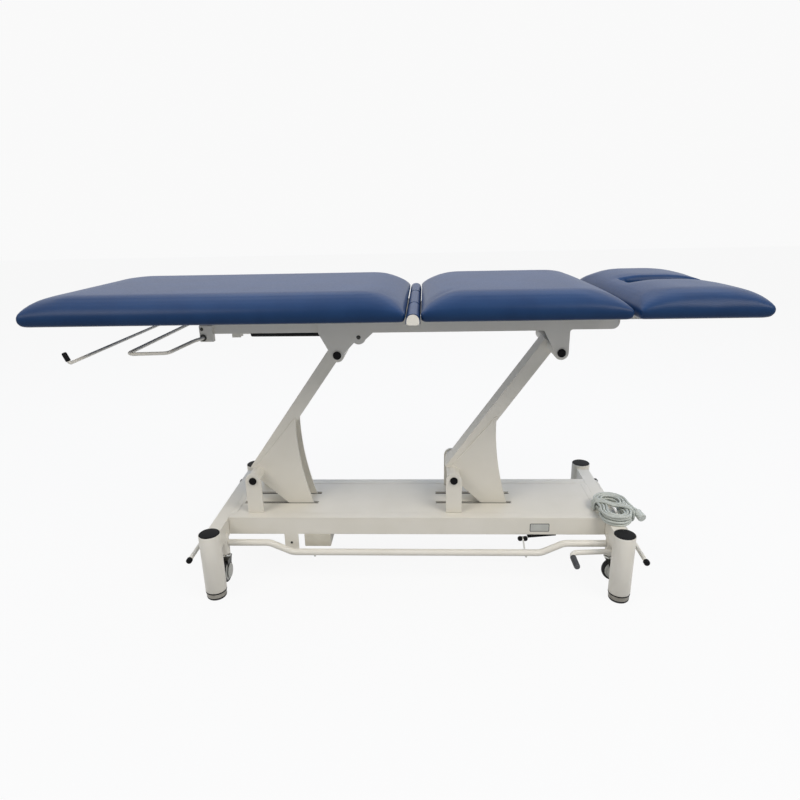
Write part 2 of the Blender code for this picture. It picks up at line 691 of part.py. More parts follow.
def build_actuator():
    start = Vector((ACTUATOR_PIVOT_X, 0.0, ACTUATOR_PIVOT_Z))
    eye = Vector((PIVOT_X["right"] + FIN_EYE[0], 0.0, LOWER_PIVOT_Z + FIN_EYE[1]))
    along = (eye - start).normalized()
    down = Vector((along.z, 0.0, -along.x))
    lug_outer = ACTUATOR_LUG_Y + ACTUATOR_LUG_THICKNESS / 2
    lug_inner = ACTUATOR_LUG_Y - ACTUATOR_LUG_THICKNESS / 2 - SEAT_GAP
    body = cylinder("actuator_body", start + along * ACTUATOR_BODY_RADIUS,
                    start + along * ACTUATOR_BODY_LENGTH,
                    ACTUATOR_BODY_RADIUS)
    motor_start = start + along * ACTUATOR_LUG_WIDTH + down * MOTOR_DROP
    gear_middle = start + along * (ACTUATOR_LUG_WIDTH + MOTOR_RADIUS)
    gear_case = cylinder("gear_case", gear_middle, gear_middle + down * MOTOR_DROP, MOTOR_RADIUS - BOX_EDGE,
                         steps=ROUND_STEPS - 2)
    root_half = ACTUATOR_EYE_RADIUS - BOX_EDGE
    root = box("root", start + Vector((0.0, BOX_EDGE - lug_inner, -root_half)),
               start + Vector((ACTUATOR_BODY_RADIUS * 2, lug_inner - BOX_EDGE, root_half)))
    join(body, root, gear_case,
         cylinder("motor", motor_start, motor_start + along * MOTOR_LENGTH, MOTOR_RADIUS),
         cross_rod("knuckle", start.x, start.z, -lug_inner, lug_inner, ACTUATOR_EYE_RADIUS),
         cross_rod("pin", start.x, start.z, -lug_outer, lug_outer, ACTUATOR_PIN_RADIUS))
    cut(body, cylinder("bore", start + along * ACTUATOR_BACK_WALL * 2, eye,
                       ACTUATOR_ROD_RADIUS + HOLE_CLEARANCE))
    finish_part(body, "black_plastic")
    rod = cylinder("actuator_rod", eye - along * ACTUATOR_ROD_LENGTH, eye, ACTUATOR_ROD_RADIUS)
    join(rod, cross_rod("eye", eye.x, eye.z, -ACTUATOR_EYE_WIDTH / 2, ACTUATOR_EYE_WIDTH / 2,
                        ACTUATOR_EYE_RADIUS))
    finish_part(rod, "zinc_steel")
    hold(pivot("actuator_axis", start), body, rod)


# Top frame

def lobe(centre, start=15, steps=12):
    """The round end of a lobe, from its head side round the bottom to its foot side."""
    return arc(centre, LOBE_RADIUS, start, -195, steps)


def side_plate_outline():
    left = (PIVOT_X["left"] + ARM_RUN, UPPER_PIVOT_Z)
    right = (PIVOT_X["right"] + ARM_RUN, UPPER_PIVOT_Z)
    head = (HEAD_HINGE_X, HEAD_HINGE_Z)
    foot_x = left[0] - LOBE_ROOT_FOOT
    head_bottom = SIDE_PLATE_BOTTOM + 2 * LOBE_STEP
    return [
        (foot_x, SIDE_PLATE_TOP),
        *arc(head, HEAD_KNUCKLE_RADIUS, 120, 0, 6),
        *arc((head[0] + HEAD_KNUCKLE_RADIUS - SIDE_PLATE_END_RADIUS, head_bottom + SIDE_PLATE_END_RADIUS),
             SIDE_PLATE_END_RADIUS, 0, -90, 6),
        *arc((right[0] + LOBE_RADIUS + LOBE_FILLET, head_bottom - LOBE_FILLET), LOBE_FILLET, 90, 180, 4),
        *lobe(right, 0),
        (right[0] - LOBE_ROOT_FOOT, SIDE_PLATE_BOTTOM),
        (ANCHOR_X + 2 * ANCHOR_BOSS_RADIUS, SIDE_PLATE_BOTTOM),
        *arc((ANCHOR_X, ANCHOR_Z), ANCHOR_BOSS_RADIUS, -20, -130, 6),
        *lobe(left),
        (foot_x, SIDE_PLATE_BOTTOM + LOBE_STEP)]


def build_side_plates():
    for side, sign in SIDE.items():
        outer, inner = sign * SIDE_PLATE_Y, sign * PLATE_INNER_Y
        solid = plate(f"side_plate_{side}", side_plate_outline(), min(outer, inner), max(outer, inner))
        lug_faces = sorted((inner + sign * SIDE_PLATE_THICKNESS / 2, inner - sign * HINGE_LUG_THICKNESS))
        added = [
            box("lug", (HINGE_X - HINGE_LUG_HALF, lug_faces[0] + SEAT_GAP,
                        SIDE_PLATE_BOTTOM + HINGE_LUG_RADIUS),
                (HINGE_X + HINGE_LUG_HALF, lug_faces[1] - SEAT_GAP, HINGE_Z)),
            cross_rod("lug_end", HINGE_X, HINGE_Z, *lug_faces, HINGE_LUG_RADIUS)]
        if side == "far":
            added.append(cross_rod("anchor_rod", ANCHOR_X, ANCHOR_Z, SEAT_GAP - PLATE_INNER_Y,
                                   PLATE_INNER_Y + SIDE_PLATE_THICKNESS / 3, ANCHOR_RADIUS))
        join(solid, *added)
        holes = [
            cross_rod("hole", x + ARM_RUN, UPPER_PIVOT_Z, -BASE_WIDTH, BASE_WIDTH,
                      PIN_RADIUS + HOLE_CLEARANCE)
            for x in PIVOT_X.values()]
        holes.append(cross_rod("hole", HINGE_X, HINGE_Z, -BASE_WIDTH, BASE_WIDTH,
                               HINGE_TUBE_RADIUS + HOLE_CLEARANCE))
        holes.append(cross_rod("hole", HEAD_HINGE_X, HEAD_HINGE_Z, -BASE_WIDTH, BASE_WIDTH,
                               HEAD_ROD_RADIUS + HOLE_CLEARANCE))
        finish_part(cut(solid, *holes), "painted_steel")


def build_mid_frame():
    """The ladder frame that carries the middle pad between the side plates."""
    outer = PLATE_INNER_Y - SEAT_GAP
    bottom = FRAME_TOP - MID_RAIL_HEIGHT
    rails = []
    for sign in SIDE.values():
        faces = sorted((sign * outer, sign * (outer - MID_RAIL_WIDTH)))
        rails.append(box("mid_frame", (MID_FRAME_FOOT_X, faces[0], bottom), (MID_FRAME_HEAD_X, faces[1],
                                                                             FRAME_TOP)))
    reach = outer - MID_RAIL_WIDTH / 2
    crosses = [
        box("cross", (x, -reach, bottom + SEAT_GAP), (x + MID_CROSS_WIDTH, reach, FRAME_TOP - SEAT_GAP))
        for x in (MID_FRAME_FOOT_X + MID_CROSS_WIDTH, MID_FRAME_HEAD_X - 2 * MID_CROSS_WIDTH)]
    finish_part(join(rails[0], rails[1], *crosses), "painted_steel")
    finish_part(cross_rod("hinge_tube", HINGE_X, HINGE_Z, -PAD_WIDTH / 2, PAD_WIDTH / 2, HINGE_TUBE_RADIUS),
                "painted_steel")
    finish_part(cross_rod("head_hinge_rod", HEAD_HINGE_X, HEAD_HINGE_Z, -SIDE_PLATE_Y, SIDE_PLATE_Y,
                          HEAD_ROD_RADIUS), "zinc_steel")


# Pads

def pad_ring(x_low, x_high, inset, z, draw):
    """One level of a pad: a rounded rectangle whose sides are drawn in between the corners."""
    half_length = (x_high - x_low) / 2 - inset * PAD_END_SHARE
    half_width = PAD_WIDTH / 2 - inset
    radius = max(PAD_CORNER_RADIUS - inset, PAD_SIDE_DRAW)
    middle = (x_low + x_high) / 2
    ring = []
    for quarter in range(4):
        turn = quarter * 90.0
        sign_x, sign_y = ((1, 1), (-1, 1), (-1, -1), (1, -1))[quarter]
        centre = (middle + sign_x * (half_length - radius), sign_y * (half_width - radius))
        ring.extend(arc(centre, radius, turn, turn + 90.0, PAD_CORNER_STEPS))
        next_x, next_y = ((-1, 1), (-1, -1), (1, -1), (1, 1))[quarter]
        inward = Vector(((0, -1), (1, 0), (0, 1), (-1, 0))[quarter])
        start = Vector(ring[-1])
        following = (middle + next_x * (half_length - radius), next_y * (half_width - radius))
        end = Vector(following) + radius * Vector(((0, 1), (-1, 0), (0, -1), (1, 0))[quarter])
        for step in range(1, PAD_SIDE_STEPS):
            share = step / PAD_SIDE_STEPS
            point = start.lerp(end, share) + inward * (4 * draw * share * (1 - share))
            ring.append(tuple(point))
    return [(x, y, z) for x, y in ring]


def crown_height(share):
    """Height over the pad's edge, from 0 at its side to 1 at the flat of its top."""
    return (1 - (1 - share) ** PAD_CROWN_POWER) ** (1 / PAD_CROWN_POWER)


def build_pad(name, x_low, x_high):
    """A crowned pad: a flat bottom, a short upright edge and a top that swells from its sides."""
    half_length = (x_high - x_low) / 2
    crown_reach = min(PAD_CROWN_REACH, (half_length - PAD_CORNER_RADIUS) / PAD_END_SHARE)
    levels = [(PAD_BOTTOM_INSET, 0.0), (PAD_BOTTOM_INSET / 4, PAD_EDGE_HEIGHT / 4), (0.0, PAD_EDGE_HEIGHT)]
    for step in range(1, PAD_CROWN_RINGS + 1):
        share = (step / PAD_CROWN_RINGS) ** 2
        rise = (PAD_THICKNESS - PAD_EDGE_HEIGHT) * crown_height(share)
        levels.append((share * crown_reach, PAD_EDGE_HEIGHT + rise))
    shape = bmesh.new()
    rings = []
    for inset, height in levels:
        draw = PAD_SIDE_DRAW * (1 - inset / crown_reach)
        ring = pad_ring(x_low, x_high, inset, PAD_BOTTOM + height, draw)
        rings.append([shape.verts.new(point) for point in ring])
    for lower, upper in zip(rings, rings[1:]):
        for index in range(len(lower)):
            following = (index + 1) % len(lower)
            shape.faces.new((lower[index], lower[following], upper[following], upper[index]))
    shape.faces.new(rings[0][::-1])
    shape.faces.new(rings[-1])
    return from_bmesh(name, shape)


def build_pads():
    for section in ("long", "mid"):
        finish_part(build_pad(f"{section}_pad", *PAD_X[section]), "navy_vinyl", 60.0)
    head = build_pad("head_pad", *PAD_X["head"])
    half = FACE_SLOT_WIDTH / 2
    slot = box("face_slot", (FACE_SLOT_START, -half, PAD_BOTTOM - PAD_THICKNESS),
               (TABLE_LENGTH, half, PAD_BOTTOM + 2 * PAD_THICKNESS), FACE_SLOT_CORNER)
    finish_part(cut(head, slot), "navy_vinyl", 60.0)


# Long section

def build_long_frame():
    """Rails and cross tubes, with the hinge arms, the bail's brackets and the gas spring's clevis."""
    rails, added, holes = [], [], []
    cross_bottom = FRAME_TOP - LONG_CROSS_HEIGHT
    for sign in SIDE.values():
        faces = sorted((sign * LONG_RAIL_Y, sign * (LONG_RAIL_Y - LONG_RAIL_WIDTH)))
        rails.append(box("long_frame", (LONG_RAIL_FOOT_X, faces[0], LONG_RAIL_BOTTOM),
                         (LONG_RAIL_HEAD_X, faces[1], FRAME_TOP)))
        middle = sign * (LONG_RAIL_Y - LONG_RAIL_WIDTH / 2)
        arm_faces = (middle - HINGE_ARM_THICKNESS / 2, middle + HINGE_ARM_THICKNESS / 2)
        added.append(box("hinge_arm", (LONG_RAIL_HEAD_X - LONG_CROSS_WIDTH, arm_faces[0],
                                       HINGE_Z - 2 * HINGE_ARM_RADIUS),
                         (HINGE_X, arm_faces[1], FRAME_TOP - SEAT_GAP)))
        added.append(cross_rod("hinge_end", HINGE_X, HINGE_Z, *arm_faces, HINGE_ARM_RADIUS))
        bracket_faces = sorted((sign * (LONG_RAIL_Y - LONG_RAIL_WIDTH / 2),
                                sign * (LONG_RAIL_Y + BAIL_BRACKET_THICKNESS)))
        added.append(box("bail_bracket", (LONG_RAIL_FOOT_X + SEAT_GAP, bracket_faces[0],
                                          BAIL_BRACKET_BOTTOM),
                         (LONG_RAIL_FOOT_X + BAIL_BRACKET_WIDTH, bracket_faces[1], BAIL_BRACKET_TOP)))
        clevis_y = SPRING_Y + sign * (SPRING_EYE_WIDTH / 2 + SEAT_GAP + CLEVIS_THICKNESS / 2)
        added.append(box("clevis", (SPRING_END_X - CLEVIS_WIDTH / 2, clevis_y - CLEVIS_THICKNESS / 2,
                                    SPRING_END_Z - SPRING_EYE_RADIUS),
                         (SPRING_END_X + CLEVIS_WIDTH / 2, clevis_y + CLEVIS_THICKNESS / 2,
                          FRAME_TOP - BOX_EDGE)))
        holes.append(cross_rod("hinge_hole", HINGE_X, HINGE_Z, -PAD_WIDTH, PAD_WIDTH,
                               HINGE_TUBE_RADIUS + HOLE_CLEARANCE))
    reach = LONG_RAIL_Y - LONG_RAIL_WIDTH / 2
    for x in (LONG_RAIL_FOOT_X + BOX_EDGE, SPRING_END_X - LONG_CROSS_WIDTH / 2,
              LONG_RAIL_HEAD_X - 2 * LONG_CROSS_WIDTH):
        added.append(box("cross", (x, -reach, cross_bottom), (x + LONG_CROSS_WIDTH, reach,
                                                              FRAME_TOP - SEAT_GAP)))
    frame = join(rails[0], rails[1], *added)
    holes.append(cross_rod("bail_hole", BAIL_PIVOT_X, BAIL_PIVOT_Z, -PAD_WIDTH, PAD_WIDTH,
                           BAIL_RADIUS + HOLE_CLEARANCE))
    holes.append(cross_rod("holder_hole", HOLDER_ROOT_X, HOLDER_ROOT_Z, LONG_RAIL_Y, PAD_WIDTH,
                           HOLDER_RADIUS + HOLE_CLEARANCE))
    finish_part(cut(frame, *holes), "painted_steel")
    return frame


def build_bail():
    """A bent wire handle whose ends turn inwards through the brackets."""
    inner = LONG_RAIL_Y + SEAT_GAP
    side = [*BAIL_PATH, (BAIL_BAR_X, BAIL_SPLAY_Y, BAIL_BAR_Z)]
    near = [(x, -y, z) for x, y, z in side]
    body = tube("release_bail", bent([*near, *side[::-1]], BAIL_BEND), BAIL_RADIUS)
    stubs = [
        cross_rod("stub", BAIL_PIVOT_X, BAIL_PIVOT_Z,
                  *sorted((sign * inner, sign * (BAIL_Y + BAIL_RADIUS))), BAIL_RADIUS)
        for sign in SIDE.values()]
    return finish_part(join(body, *stubs), "painted_steel")


def build_paper_holder():
    """A bent rod for a roll of paper, open at its near end, with its root in the far rail."""
    tip = Vector((HOLDER_X - HOLDER_TIP_LEAN, HOLDER_NEAR_Y, HOLDER_Z + HOLDER_TIP_RISE))
    near = Vector((HOLDER_X, HOLDER_NEAR_Y, HOLDER_Z))
    far = Vector((HOLDER_X, HOLDER_FAR_Y, HOLDER_Z))
    side = Vector((HOLDER_ROOT_X, HOLDER_FAR_Y, HOLDER_ROOT_Z))
    root = Vector((HOLDER_ROOT_X, LONG_RAIL_Y + BAIL_BRACKET_THICKNESS + SEAT_GAP, HOLDER_ROOT_Z))
    middle = near.lerp(far, 0.5)
    path = [*bent([tip, near, middle], HOLDER_TIP_BEND), *bent([middle, far, side, root], HOLDER_BEND)[1:]]
    return finish_part(tube("paper_roll_holder", path, HOLDER_RADIUS), "painted_steel")


def build_gas_spring():
    start = Vector((ANCHOR_X, SPRING_Y, ANCHOR_Z))
    end = Vector((SPRING_END_X, SPRING_Y, SPRING_END_Z))
    along = (end - start).normalized()
    half = SPRING_EYE_WIDTH / 2
    body = cylinder("gas_spring_cylinder", start + along * ANCHOR_RADIUS,
                    start + along * SPRING_BODY_LENGTH, SPRING_RADIUS)
    join(body, cross_rod("eye", start.x, start.z, SPRING_Y - half, SPRING_Y + half, SPRING_EYE_RADIUS))
    cut(body, cross_rod("eye_hole", start.x, start.z, SPRING_Y - PAD_WIDTH, SPRING_Y + PAD_WIDTH,
                        ANCHOR_RADIUS + HOLE_CLEARANCE),
        cylinder("bore", start + along * SPRING_BORE_START, end, SPRING_ROD_RADIUS + HOLE_CLEARANCE))
    finish_part(body, "black_plastic")
    rod = cylinder("gas_spring_rod", end - along * SPRING_ROD_LENGTH, end, SPRING_ROD_RADIUS)
    join(rod, cross_rod("eye", end.x, end.z, SPRING_Y - half, SPRING_Y + half, SPRING_EYE_RADIUS * 0.8))
    finish_part(rod, "zinc_steel")
    return body, rod, start


def build_long_section():
    axis = pivot("long_section_axis", (HINGE_X, 0.0, HINGE_Z))
    frame = build_long_frame()
    hold(axis, frame, build_paper_holder(), bpy.data.objects["long_pad"])
    hold(pivot("bail_axis", (BAIL_PIVOT_X, 0.0, BAIL_PIVOT_Z), axis), build_bail())
    body, rod, start = build_gas_spring()
    hold(pivot("gas_spring_axis", start), body, rod)


# Head section

def build_head_section():
    """Two rails that turn on the head hinge rod, joined by a cross tube."""
    bottom = FRAME_TOP - HEAD_RAIL_HEIGHT
    rails, added = [], []
    for sign in SIDE.values():
        faces = sorted((sign * LONG_RAIL_Y, sign * (LONG_RAIL_Y - LONG_RAIL_WIDTH)))
        rails.append(box("head_frame", (HEAD_HINGE_X, faces[0], bottom), (HEAD_RAIL_END_X, faces[1],
                                                                          FRAME_TOP)))
        added.append(cross_rod("knuckle", HEAD_HINGE_X, HEAD_HINGE_Z, faces[0] + SEAT_GAP,
                               faces[1] - SEAT_GAP,
                               HEAD_KNUCKLE_RADIUS))
    reach = LONG_RAIL_Y - LONG_RAIL_WIDTH / 2
    added.append(box("cross", (HEAD_CROSS_X, -reach, FRAME_TOP - HEAD_CROSS_HEIGHT),
                     (HEAD_CROSS_X + HEAD_CROSS_WIDTH, reach, FRAME_TOP - SEAT_GAP)))
    frame = join(rails[0], rails[1], *added)
    cut(frame, cross_rod("hole", HEAD_HINGE_X, HEAD_HINGE_Z, -PAD_WIDTH, PAD_WIDTH,
                         HEAD_ROD_RADIUS + HOLE_CLEARANCE))
    finish_part(frame, "painted_steel")
    hold(pivot("head_axis", (HEAD_HINGE_X, 0.0, HEAD_HINGE_Z)), frame, bpy.data.objects["head_pad"])


# Casters and pedals

def build_wheel(name, x, y):
    """A caster wheel on an axle along X, with its edges eased."""
    half = WHEEL_WIDTH / 2
    wheel = cylinder(name, (x - half + WHEEL_EDGE, y, WHEEL_Z), (x + half - WHEEL_EDGE, y, WHEEL_Z),
                     WHEEL_RADIUS)
    shoulders = [
        cylinder("shoulder", (x + sign * (half - WHEEL_EDGE - SEAT_GAP), y, WHEEL_Z), (x + sign * half, y,
                                                                                       WHEEL_Z),
                 WHEEL_RADIUS, WHEEL_RADIUS - WHEEL_EDGE)
        for sign in SIDE.values()]
    join(wheel, *shoulders)
    bore = cylinder("bore", (x - WHEEL_WIDTH, y, WHEEL_Z), (x + WHEEL_WIDTH, y, WHEEL_Z),
                    AXLE_RADIUS + HOLE_CLEARANCE)
    return cut(wheel, bore)


def build_fork(name, x, y):
    """A crown plate and two cheeks that hold the axle behind the stem."""
    crown_bottom = FORK_TOP - FORK_CROWN_THICKNESS
    inner = WHEEL_WIDTH / 2 + FORK_SIDE_GAP
    outer = inner + FORK_CHEEK
    axle_y = y - CASTER_TRAIL
    fork = box(name, (x - outer, axle_y - FORK_CROWN_RADIUS, crown_bottom), (x + outer,
                                                                             y + FORK_CROWN_RADIUS, FORK_TOP))
    outline = [(y + FORK_CROWN_RADIUS - SEAT_GAP, FORK_TOP - SEAT_GAP),
               (axle_y - FORK_CROWN_RADIUS + SEAT_GAP, FORK_TOP - SEAT_GAP),
               *arc((axle_y, WHEEL_Z), FORK_AXLE_RADIUS, 180, 360, 8)]
    cheeks = []
    for sign in SIDE.values():
        faces = sorted((sign * inner, sign * outer))
        cheeks.append(plate("cheek", outline, x + faces[0], x + faces[1], across="X"))
    axle = cylinder("axle", (x - outer + SEAT_GAP, axle_y, WHEEL_Z), (x + outer - SEAT_GAP, axle_y,
                                                                      WHEEL_Z), AXLE_RADIUS)
    return join(fork, *cheeks, axle)


def turn_about_stem(obj, x, y, degrees):
    stem = Matrix.Translation((x, y, 0.0))
    obj.data.transform(stem @ Matrix.Rotation(math.radians(degrees), 4, "Z") @ stem.inverted())


def build_casters():
    for end, column_x in COLUMN_X.items():
        for side, sign in SIDE.items():
            place = f"{side}_{end}"
            x = column_x - OUTWARD[end] * CASTER_INSET_X
            y = sign * CASTER_Y
            flange_bottom = FORK_TOP + SEAT_GAP
            stem = cylinder(f"caster_stem_{place}", (x, y, flange_bottom + STEM_FLANGE_THICKNESS / 2),
                            (x, y, BASE_BOTTOM - SLEEVE_ROOF - STEM_TOP_GAP), STEM_RADIUS)
            flange = cylinder("flange", (x, y, flange_bottom), (x, y,
                                                                flange_bottom + STEM_FLANGE_THICKNESS),
                              STEM_FLANGE_RADIUS)
            finish_part(join(stem, flange), "zinc_steel")
            fork = finish_part(build_fork(f"caster_fork_{place}", x, y), "grey_plastic")
            wheel = finish_part(build_wheel(f"caster_wheel_{place}", x, y - CASTER_TRAIL), "black_rubber")
            for piece in (fork, wheel):
                turn_about_stem(piece, x, y, CASTER_TURN[place])
            stem_axis = pivot(f"stem_axis_{place}", (x, y, FORK_TOP))
            hold(stem_axis, stem, fork)
            trail = Matrix.Rotation(math.radians(CASTER_TURN[place]), 3, "Z") @ Vector((0.0,
                                                                                        -CASTER_TRAIL, 0.0))
            hold(pivot(f"wheel_axis_{place}", (x + trail.x, y + trail.y, WHEEL_Z), stem_axis), wheel)


def build_pedals():
    """A shaft under each end beam with a foot bar outside the columns, and a lever inside the head end."""
    for end, column_x in COLUMN_X.items():
        shaft_x = column_x + OUTWARD[end] * PEDAL_SHAFT_OFFSET
        bar_x = column_x + OUTWARD[end] * PEDAL_BAR_OFFSET
        half_shaft, half_bar = PEDAL_SHAFT_LENGTH / 2, PEDAL_BAR_LENGTH / 2
        pedal = cross_rod(f"caster_pedal_{end}", shaft_x, PEDAL_SHAFT_Z, -half_shaft, half_shaft,
                          PEDAL_SHAFT_RADIUS)
        added = [cross_rod("bar", bar_x, PEDAL_BAR_Z, SEAT_GAP - half_bar, half_bar - SEAT_GAP,
                           PEDAL_BAR_RADIUS)]
        for sign in SIDE.values():
            knob = sorted((sign * half_bar, sign * (half_bar - PEDAL_KNOB_LENGTH)))
            added.append(cross_rod("knob", bar_x, PEDAL_BAR_Z, *knob, PEDAL_KNOB_RADIUS))
            root = Vector((shaft_x, sign * PEDAL_ARM_Y, PEDAL_SHAFT_Z))
            tip = Vector((bar_x, sign * PEDAL_ARM_Y, PEDAL_BAR_Z))
            lap = (tip - root).normalized() * PEDAL_ARM_LAP
            added.append(cylinder("arm", root + lap, tip - lap, PEDAL_ARM_RADIUS, steps=ROUND_STEPS - 6))
        if end == "right":
            path = bent([(shaft_x, LEVER_Y, PEDAL_SHAFT_Z), (LEVER_CORNER_X, LEVER_Y, LEVER_CORNER_Z),
                         (LEVER_CORNER_X, LEVER_TIP_Y, LEVER_CORNER_Z)], LEVER_BEND)
            added.append(tube("lever", path, LEVER_RADIUS))
        finish_part(join(pedal, *added), "painted_steel")
        hold(pivot(f"pedal_axis_{end}", (shaft_x, 0.0, PEDAL_SHAFT_Z)), pedal)


# Foot control

def build_foot_bars():
    for side, sign in SIDE.items():
        y = sign * FOOT_BAR_Y
        low = FOOT_BAR_Z - FOOT_BAR_DROP
        start = COLUMN_X["left"] + CASTER_INSET_X + SLEEVE_RADIUS + SEAT_GAP
        end = COLUMN_X["right"] - CASTER_INSET_X - SLEEVE_RADIUS - SEAT_GAP
        corners = [(start, y, FOOT_BAR_Z), (FOOT_BAR_BENDS[0], y, FOOT_BAR_Z), (FOOT_BAR_BENDS[1], y, low),
                   (FOOT_BAR_BENDS[2], y, low), (FOOT_BAR_BENDS[3], y, FOOT_BAR_Z), (end, y, FOOT_BAR_Z)]
        bar = finish_part(tube(f"foot_bar_{side}", bent(corners, FOOT_BAR_BEND), FOOT_BAR_RADIUS, 4),
                          "painted_steel")
        hold(pivot(f"foot_bar_axis_{side}", (COLUMN_MIDDLE_X, y, FOOT_BAR_Z)), bar)


def build_switch():
    """The switch under the near rail, with a ball and link in front of its lever."""
    top = BASE_BOTTOM - SEAT_GAP
    switch = box("foot_switch", (SWITCH_X - SWITCH_LENGTH / 2, SWITCH_BALL_Y + SWITCH_BALL_RADIUS,
                                 top - SWITCH_HEIGHT),
                 (SWITCH_X + SWITCH_LENGTH / 2, SWITCH_BALL_Y + SWITCH_BALL_RADIUS + SWITCH_DEPTH, top))
    ball_z = top - SWITCH_HEIGHT / 2
    shape = bmesh.new()
    bmesh.ops.create_uvsphere(shape, u_segments=12, v_segments=8, radius=SWITCH_BALL_RADIUS,
                              matrix=Matrix.Translation((SWITCH_BALL_X, SWITCH_BALL_Y, ball_z)))
    ball = from_bmesh("ball", shape)
    stub = cylinder("stub", (SWITCH_BALL_X, SWITCH_BALL_Y, ball_z),
                    (SWITCH_X, SWITCH_BALL_Y + SWITCH_DEPTH / 2, ball_z), SWITCH_LINK_RADIUS)
    link = cylinder("link", (SWITCH_BALL_X, SWITCH_BALL_Y, ball_z),
                    (SWITCH_BALL_X, SWITCH_BALL_Y, ball_z - SWITCH_LINK_DROP), SWITCH_LINK_RADIUS)
    finish_part(join(switch, stub, ball, link), "black_plastic")


# Mains lead

def hank_point(turns, spread, height):
    """A point of the hank: how far round the loop, how far out of the inner loop, and how high."""
    share = turns % 1.0
    points = HANK_RUN_POINTS + HANK_FOLD_POINTS
    position = share * 2 * points
    half, step = divmod(position, points)
    heading = -1.0 if half < 1 else 1.0
    radius = HANK_FOLD_RADIUS + spread
    if step < HANK_RUN_POINTS:
        along = -HANK_RUN / 2 + HANK_RUN * step / HANK_RUN_POINTS
        drawn = HANK_WAIST * math.cos(math.pi * along / HANK_RUN) ** 2
        side = radius - drawn
    else:
        angle = math.pi * (step - HANK_RUN_POINTS) / HANK_FOLD_POINTS
        along = HANK_RUN / 2 + radius * math.sin(angle)
        side = radius * math.cos(angle)
    return Vector((HANK_X - heading * side, HANK_Y + heading * along, height))


def hank_path():
    """Loops that spiral in and out, layer on layer, climbing in the half turn where the spiral turns back."""
    loop_points = 2 * (HANK_RUN_POINTS + HANK_FOLD_POINTS)
    path = []
    turns = 0.0
    bottom = BASE_TOP + SEAT_GAP + CORD_RADIUS
    for layer in range(HANK_LAYERS):
        inward = layer % 2 == 0
        height = bottom + layer * HANK_LAYER_RISE
        steps = HANK_LOOPS_A_LAYER * loop_points
        last = loop_points // 2 + 1 if layer == HANK_LAYERS - 1 else 0
        for step in range(steps + last):
            share = step / steps
            spread = HANK_STEP * HANK_LOOPS_A_LAYER * (1 - share if inward else share)
            path.append(hank_point(turns + step / loop_points, spread, height))
        turns += HANK_LOOPS_A_LAYER
        if layer < HANK_LAYERS - 1:
            spread = 0.0 if inward else HANK_STEP * HANK_LOOPS_A_LAYER
            climb = loop_points // 2
            for step in range(climb):
                rise = HANK_LAYER_RISE * step / climb
                path.append(hank_point(turns + step / loop_points, spread, height + rise))
            turns += 0.5
    return path


def smooth_through(points, steps):
    """A smooth curve through hand-set points."""
    padded = [2 * points[0] - points[1], *points, 2 * points[-1] - points[-2]]
    path = []
    for a, b, c, d in zip(padded, padded[1:], padded[2:], padded[3:]):
        for step in range(steps):
            t = step / steps
            path.append(0.5 * (2 * b + (c - a) * t + (2 * a - 5 * b + 4 * c - d) * t ** 2
                               + (3 * b - a - 3 * c + d) * t ** 3))
    path.append(points[-1])
    return path


def least_self_gap(path):
    """Least clear distance between stretches of the cord that aren't neighbours along it."""
    lengths = [0.0]
    for before, after in zip(path, path[1:]):
        lengths.append(lengths[-1] + (after - before).length)
    least = math.inf
    for i, first in enumerate(path):
        for j in range(i + 1, len(path)):
            if lengths[j] - lengths[i] > math.pi * HANK_FOLD_RADIUS:
                least = min(least, (first - path[j]).length)
    return least - CORD_DIAMETER, lengths[-1]


def build_cord():
    beam_face = COLUMN_X["right"] + BEAM_WIDTH / 2 + SEAT_GAP
    gland_end = Vector((beam_face + GLAND_LENGTH, GLAND_Y, GLAND_Z))
    gland = cylinder("cord_gland", (beam_face, GLAND_Y, GLAND_Z), gland_end, GLAND_RADIUS,
                     CORD_RADIUS * 1.3)
    finish_part(gland, "black_plastic")
    loops = hank_path()
    exit_point = gland_end + Vector((SEAT_GAP, 0.0, 0.0))
    straight = exit_point + Vector((CORD_DIAMETER, 0.0, 0.0))
    lead = smooth_through([straight, *[Vector(point) for point in LEAD_POINTS], loops[0]], 2)
    heading = Vector(PLUG_HEADING).normalized()
    plug_start = Vector(PLUG_START)
    tail_end = plug_start - heading * SEAT_GAP
    tail = smooth_through([loops[-1], *[Vector(point) for point in TAIL_POINTS],
                           tail_end - heading * CORD_DIAMETER], 2)
    path = [exit_point, *lead, *loops[1:-1], *tail, tail_end]
    gap, length = least_self_gap(path)
    print(f"cord length {length:.3f} m, least gap to itself {gap * 1000:.2f} mm")
    finish_part(tube("cord_hank", path, CORD_RADIUS, 1), "cord_pvc", 70.0)
    neck_end = plug_start + heading * PLUG_NECK_LENGTH
    plug = cylinder("cord_plug", plug_start, neck_end, PLUG_NECK_RADIUS, PLUG_RADIUS * 0.8)
    join(plug, cylinder("grip", neck_end - heading * SEAT_GAP, plug_start + heading * PLUG_LENGTH,
                        PLUG_RADIUS))
    finish_part(plug, "cord_pvc")


build_columns()
build_end_beams()
build_base_box()
build_brackets()
build_arms()
build_actuator()
build_side_plates()
build_mid_frame()
build_pads()
build_long_section()
build_head_section()
build_casters()
build_pedals()
build_foot_bars()
build_switch()
build_cord()
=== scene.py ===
"""Hi-lo treatment table, dressed over its frame: vinyl pads, powder-coated steel, moulded plastic and a tied cord.

Every piece is in metres in the frame's own axes: +X to the head end, -Y to the near side, +Z up.
"""

import json
import math

import bmesh
import bpy
from mathutils import Matrix, Vector

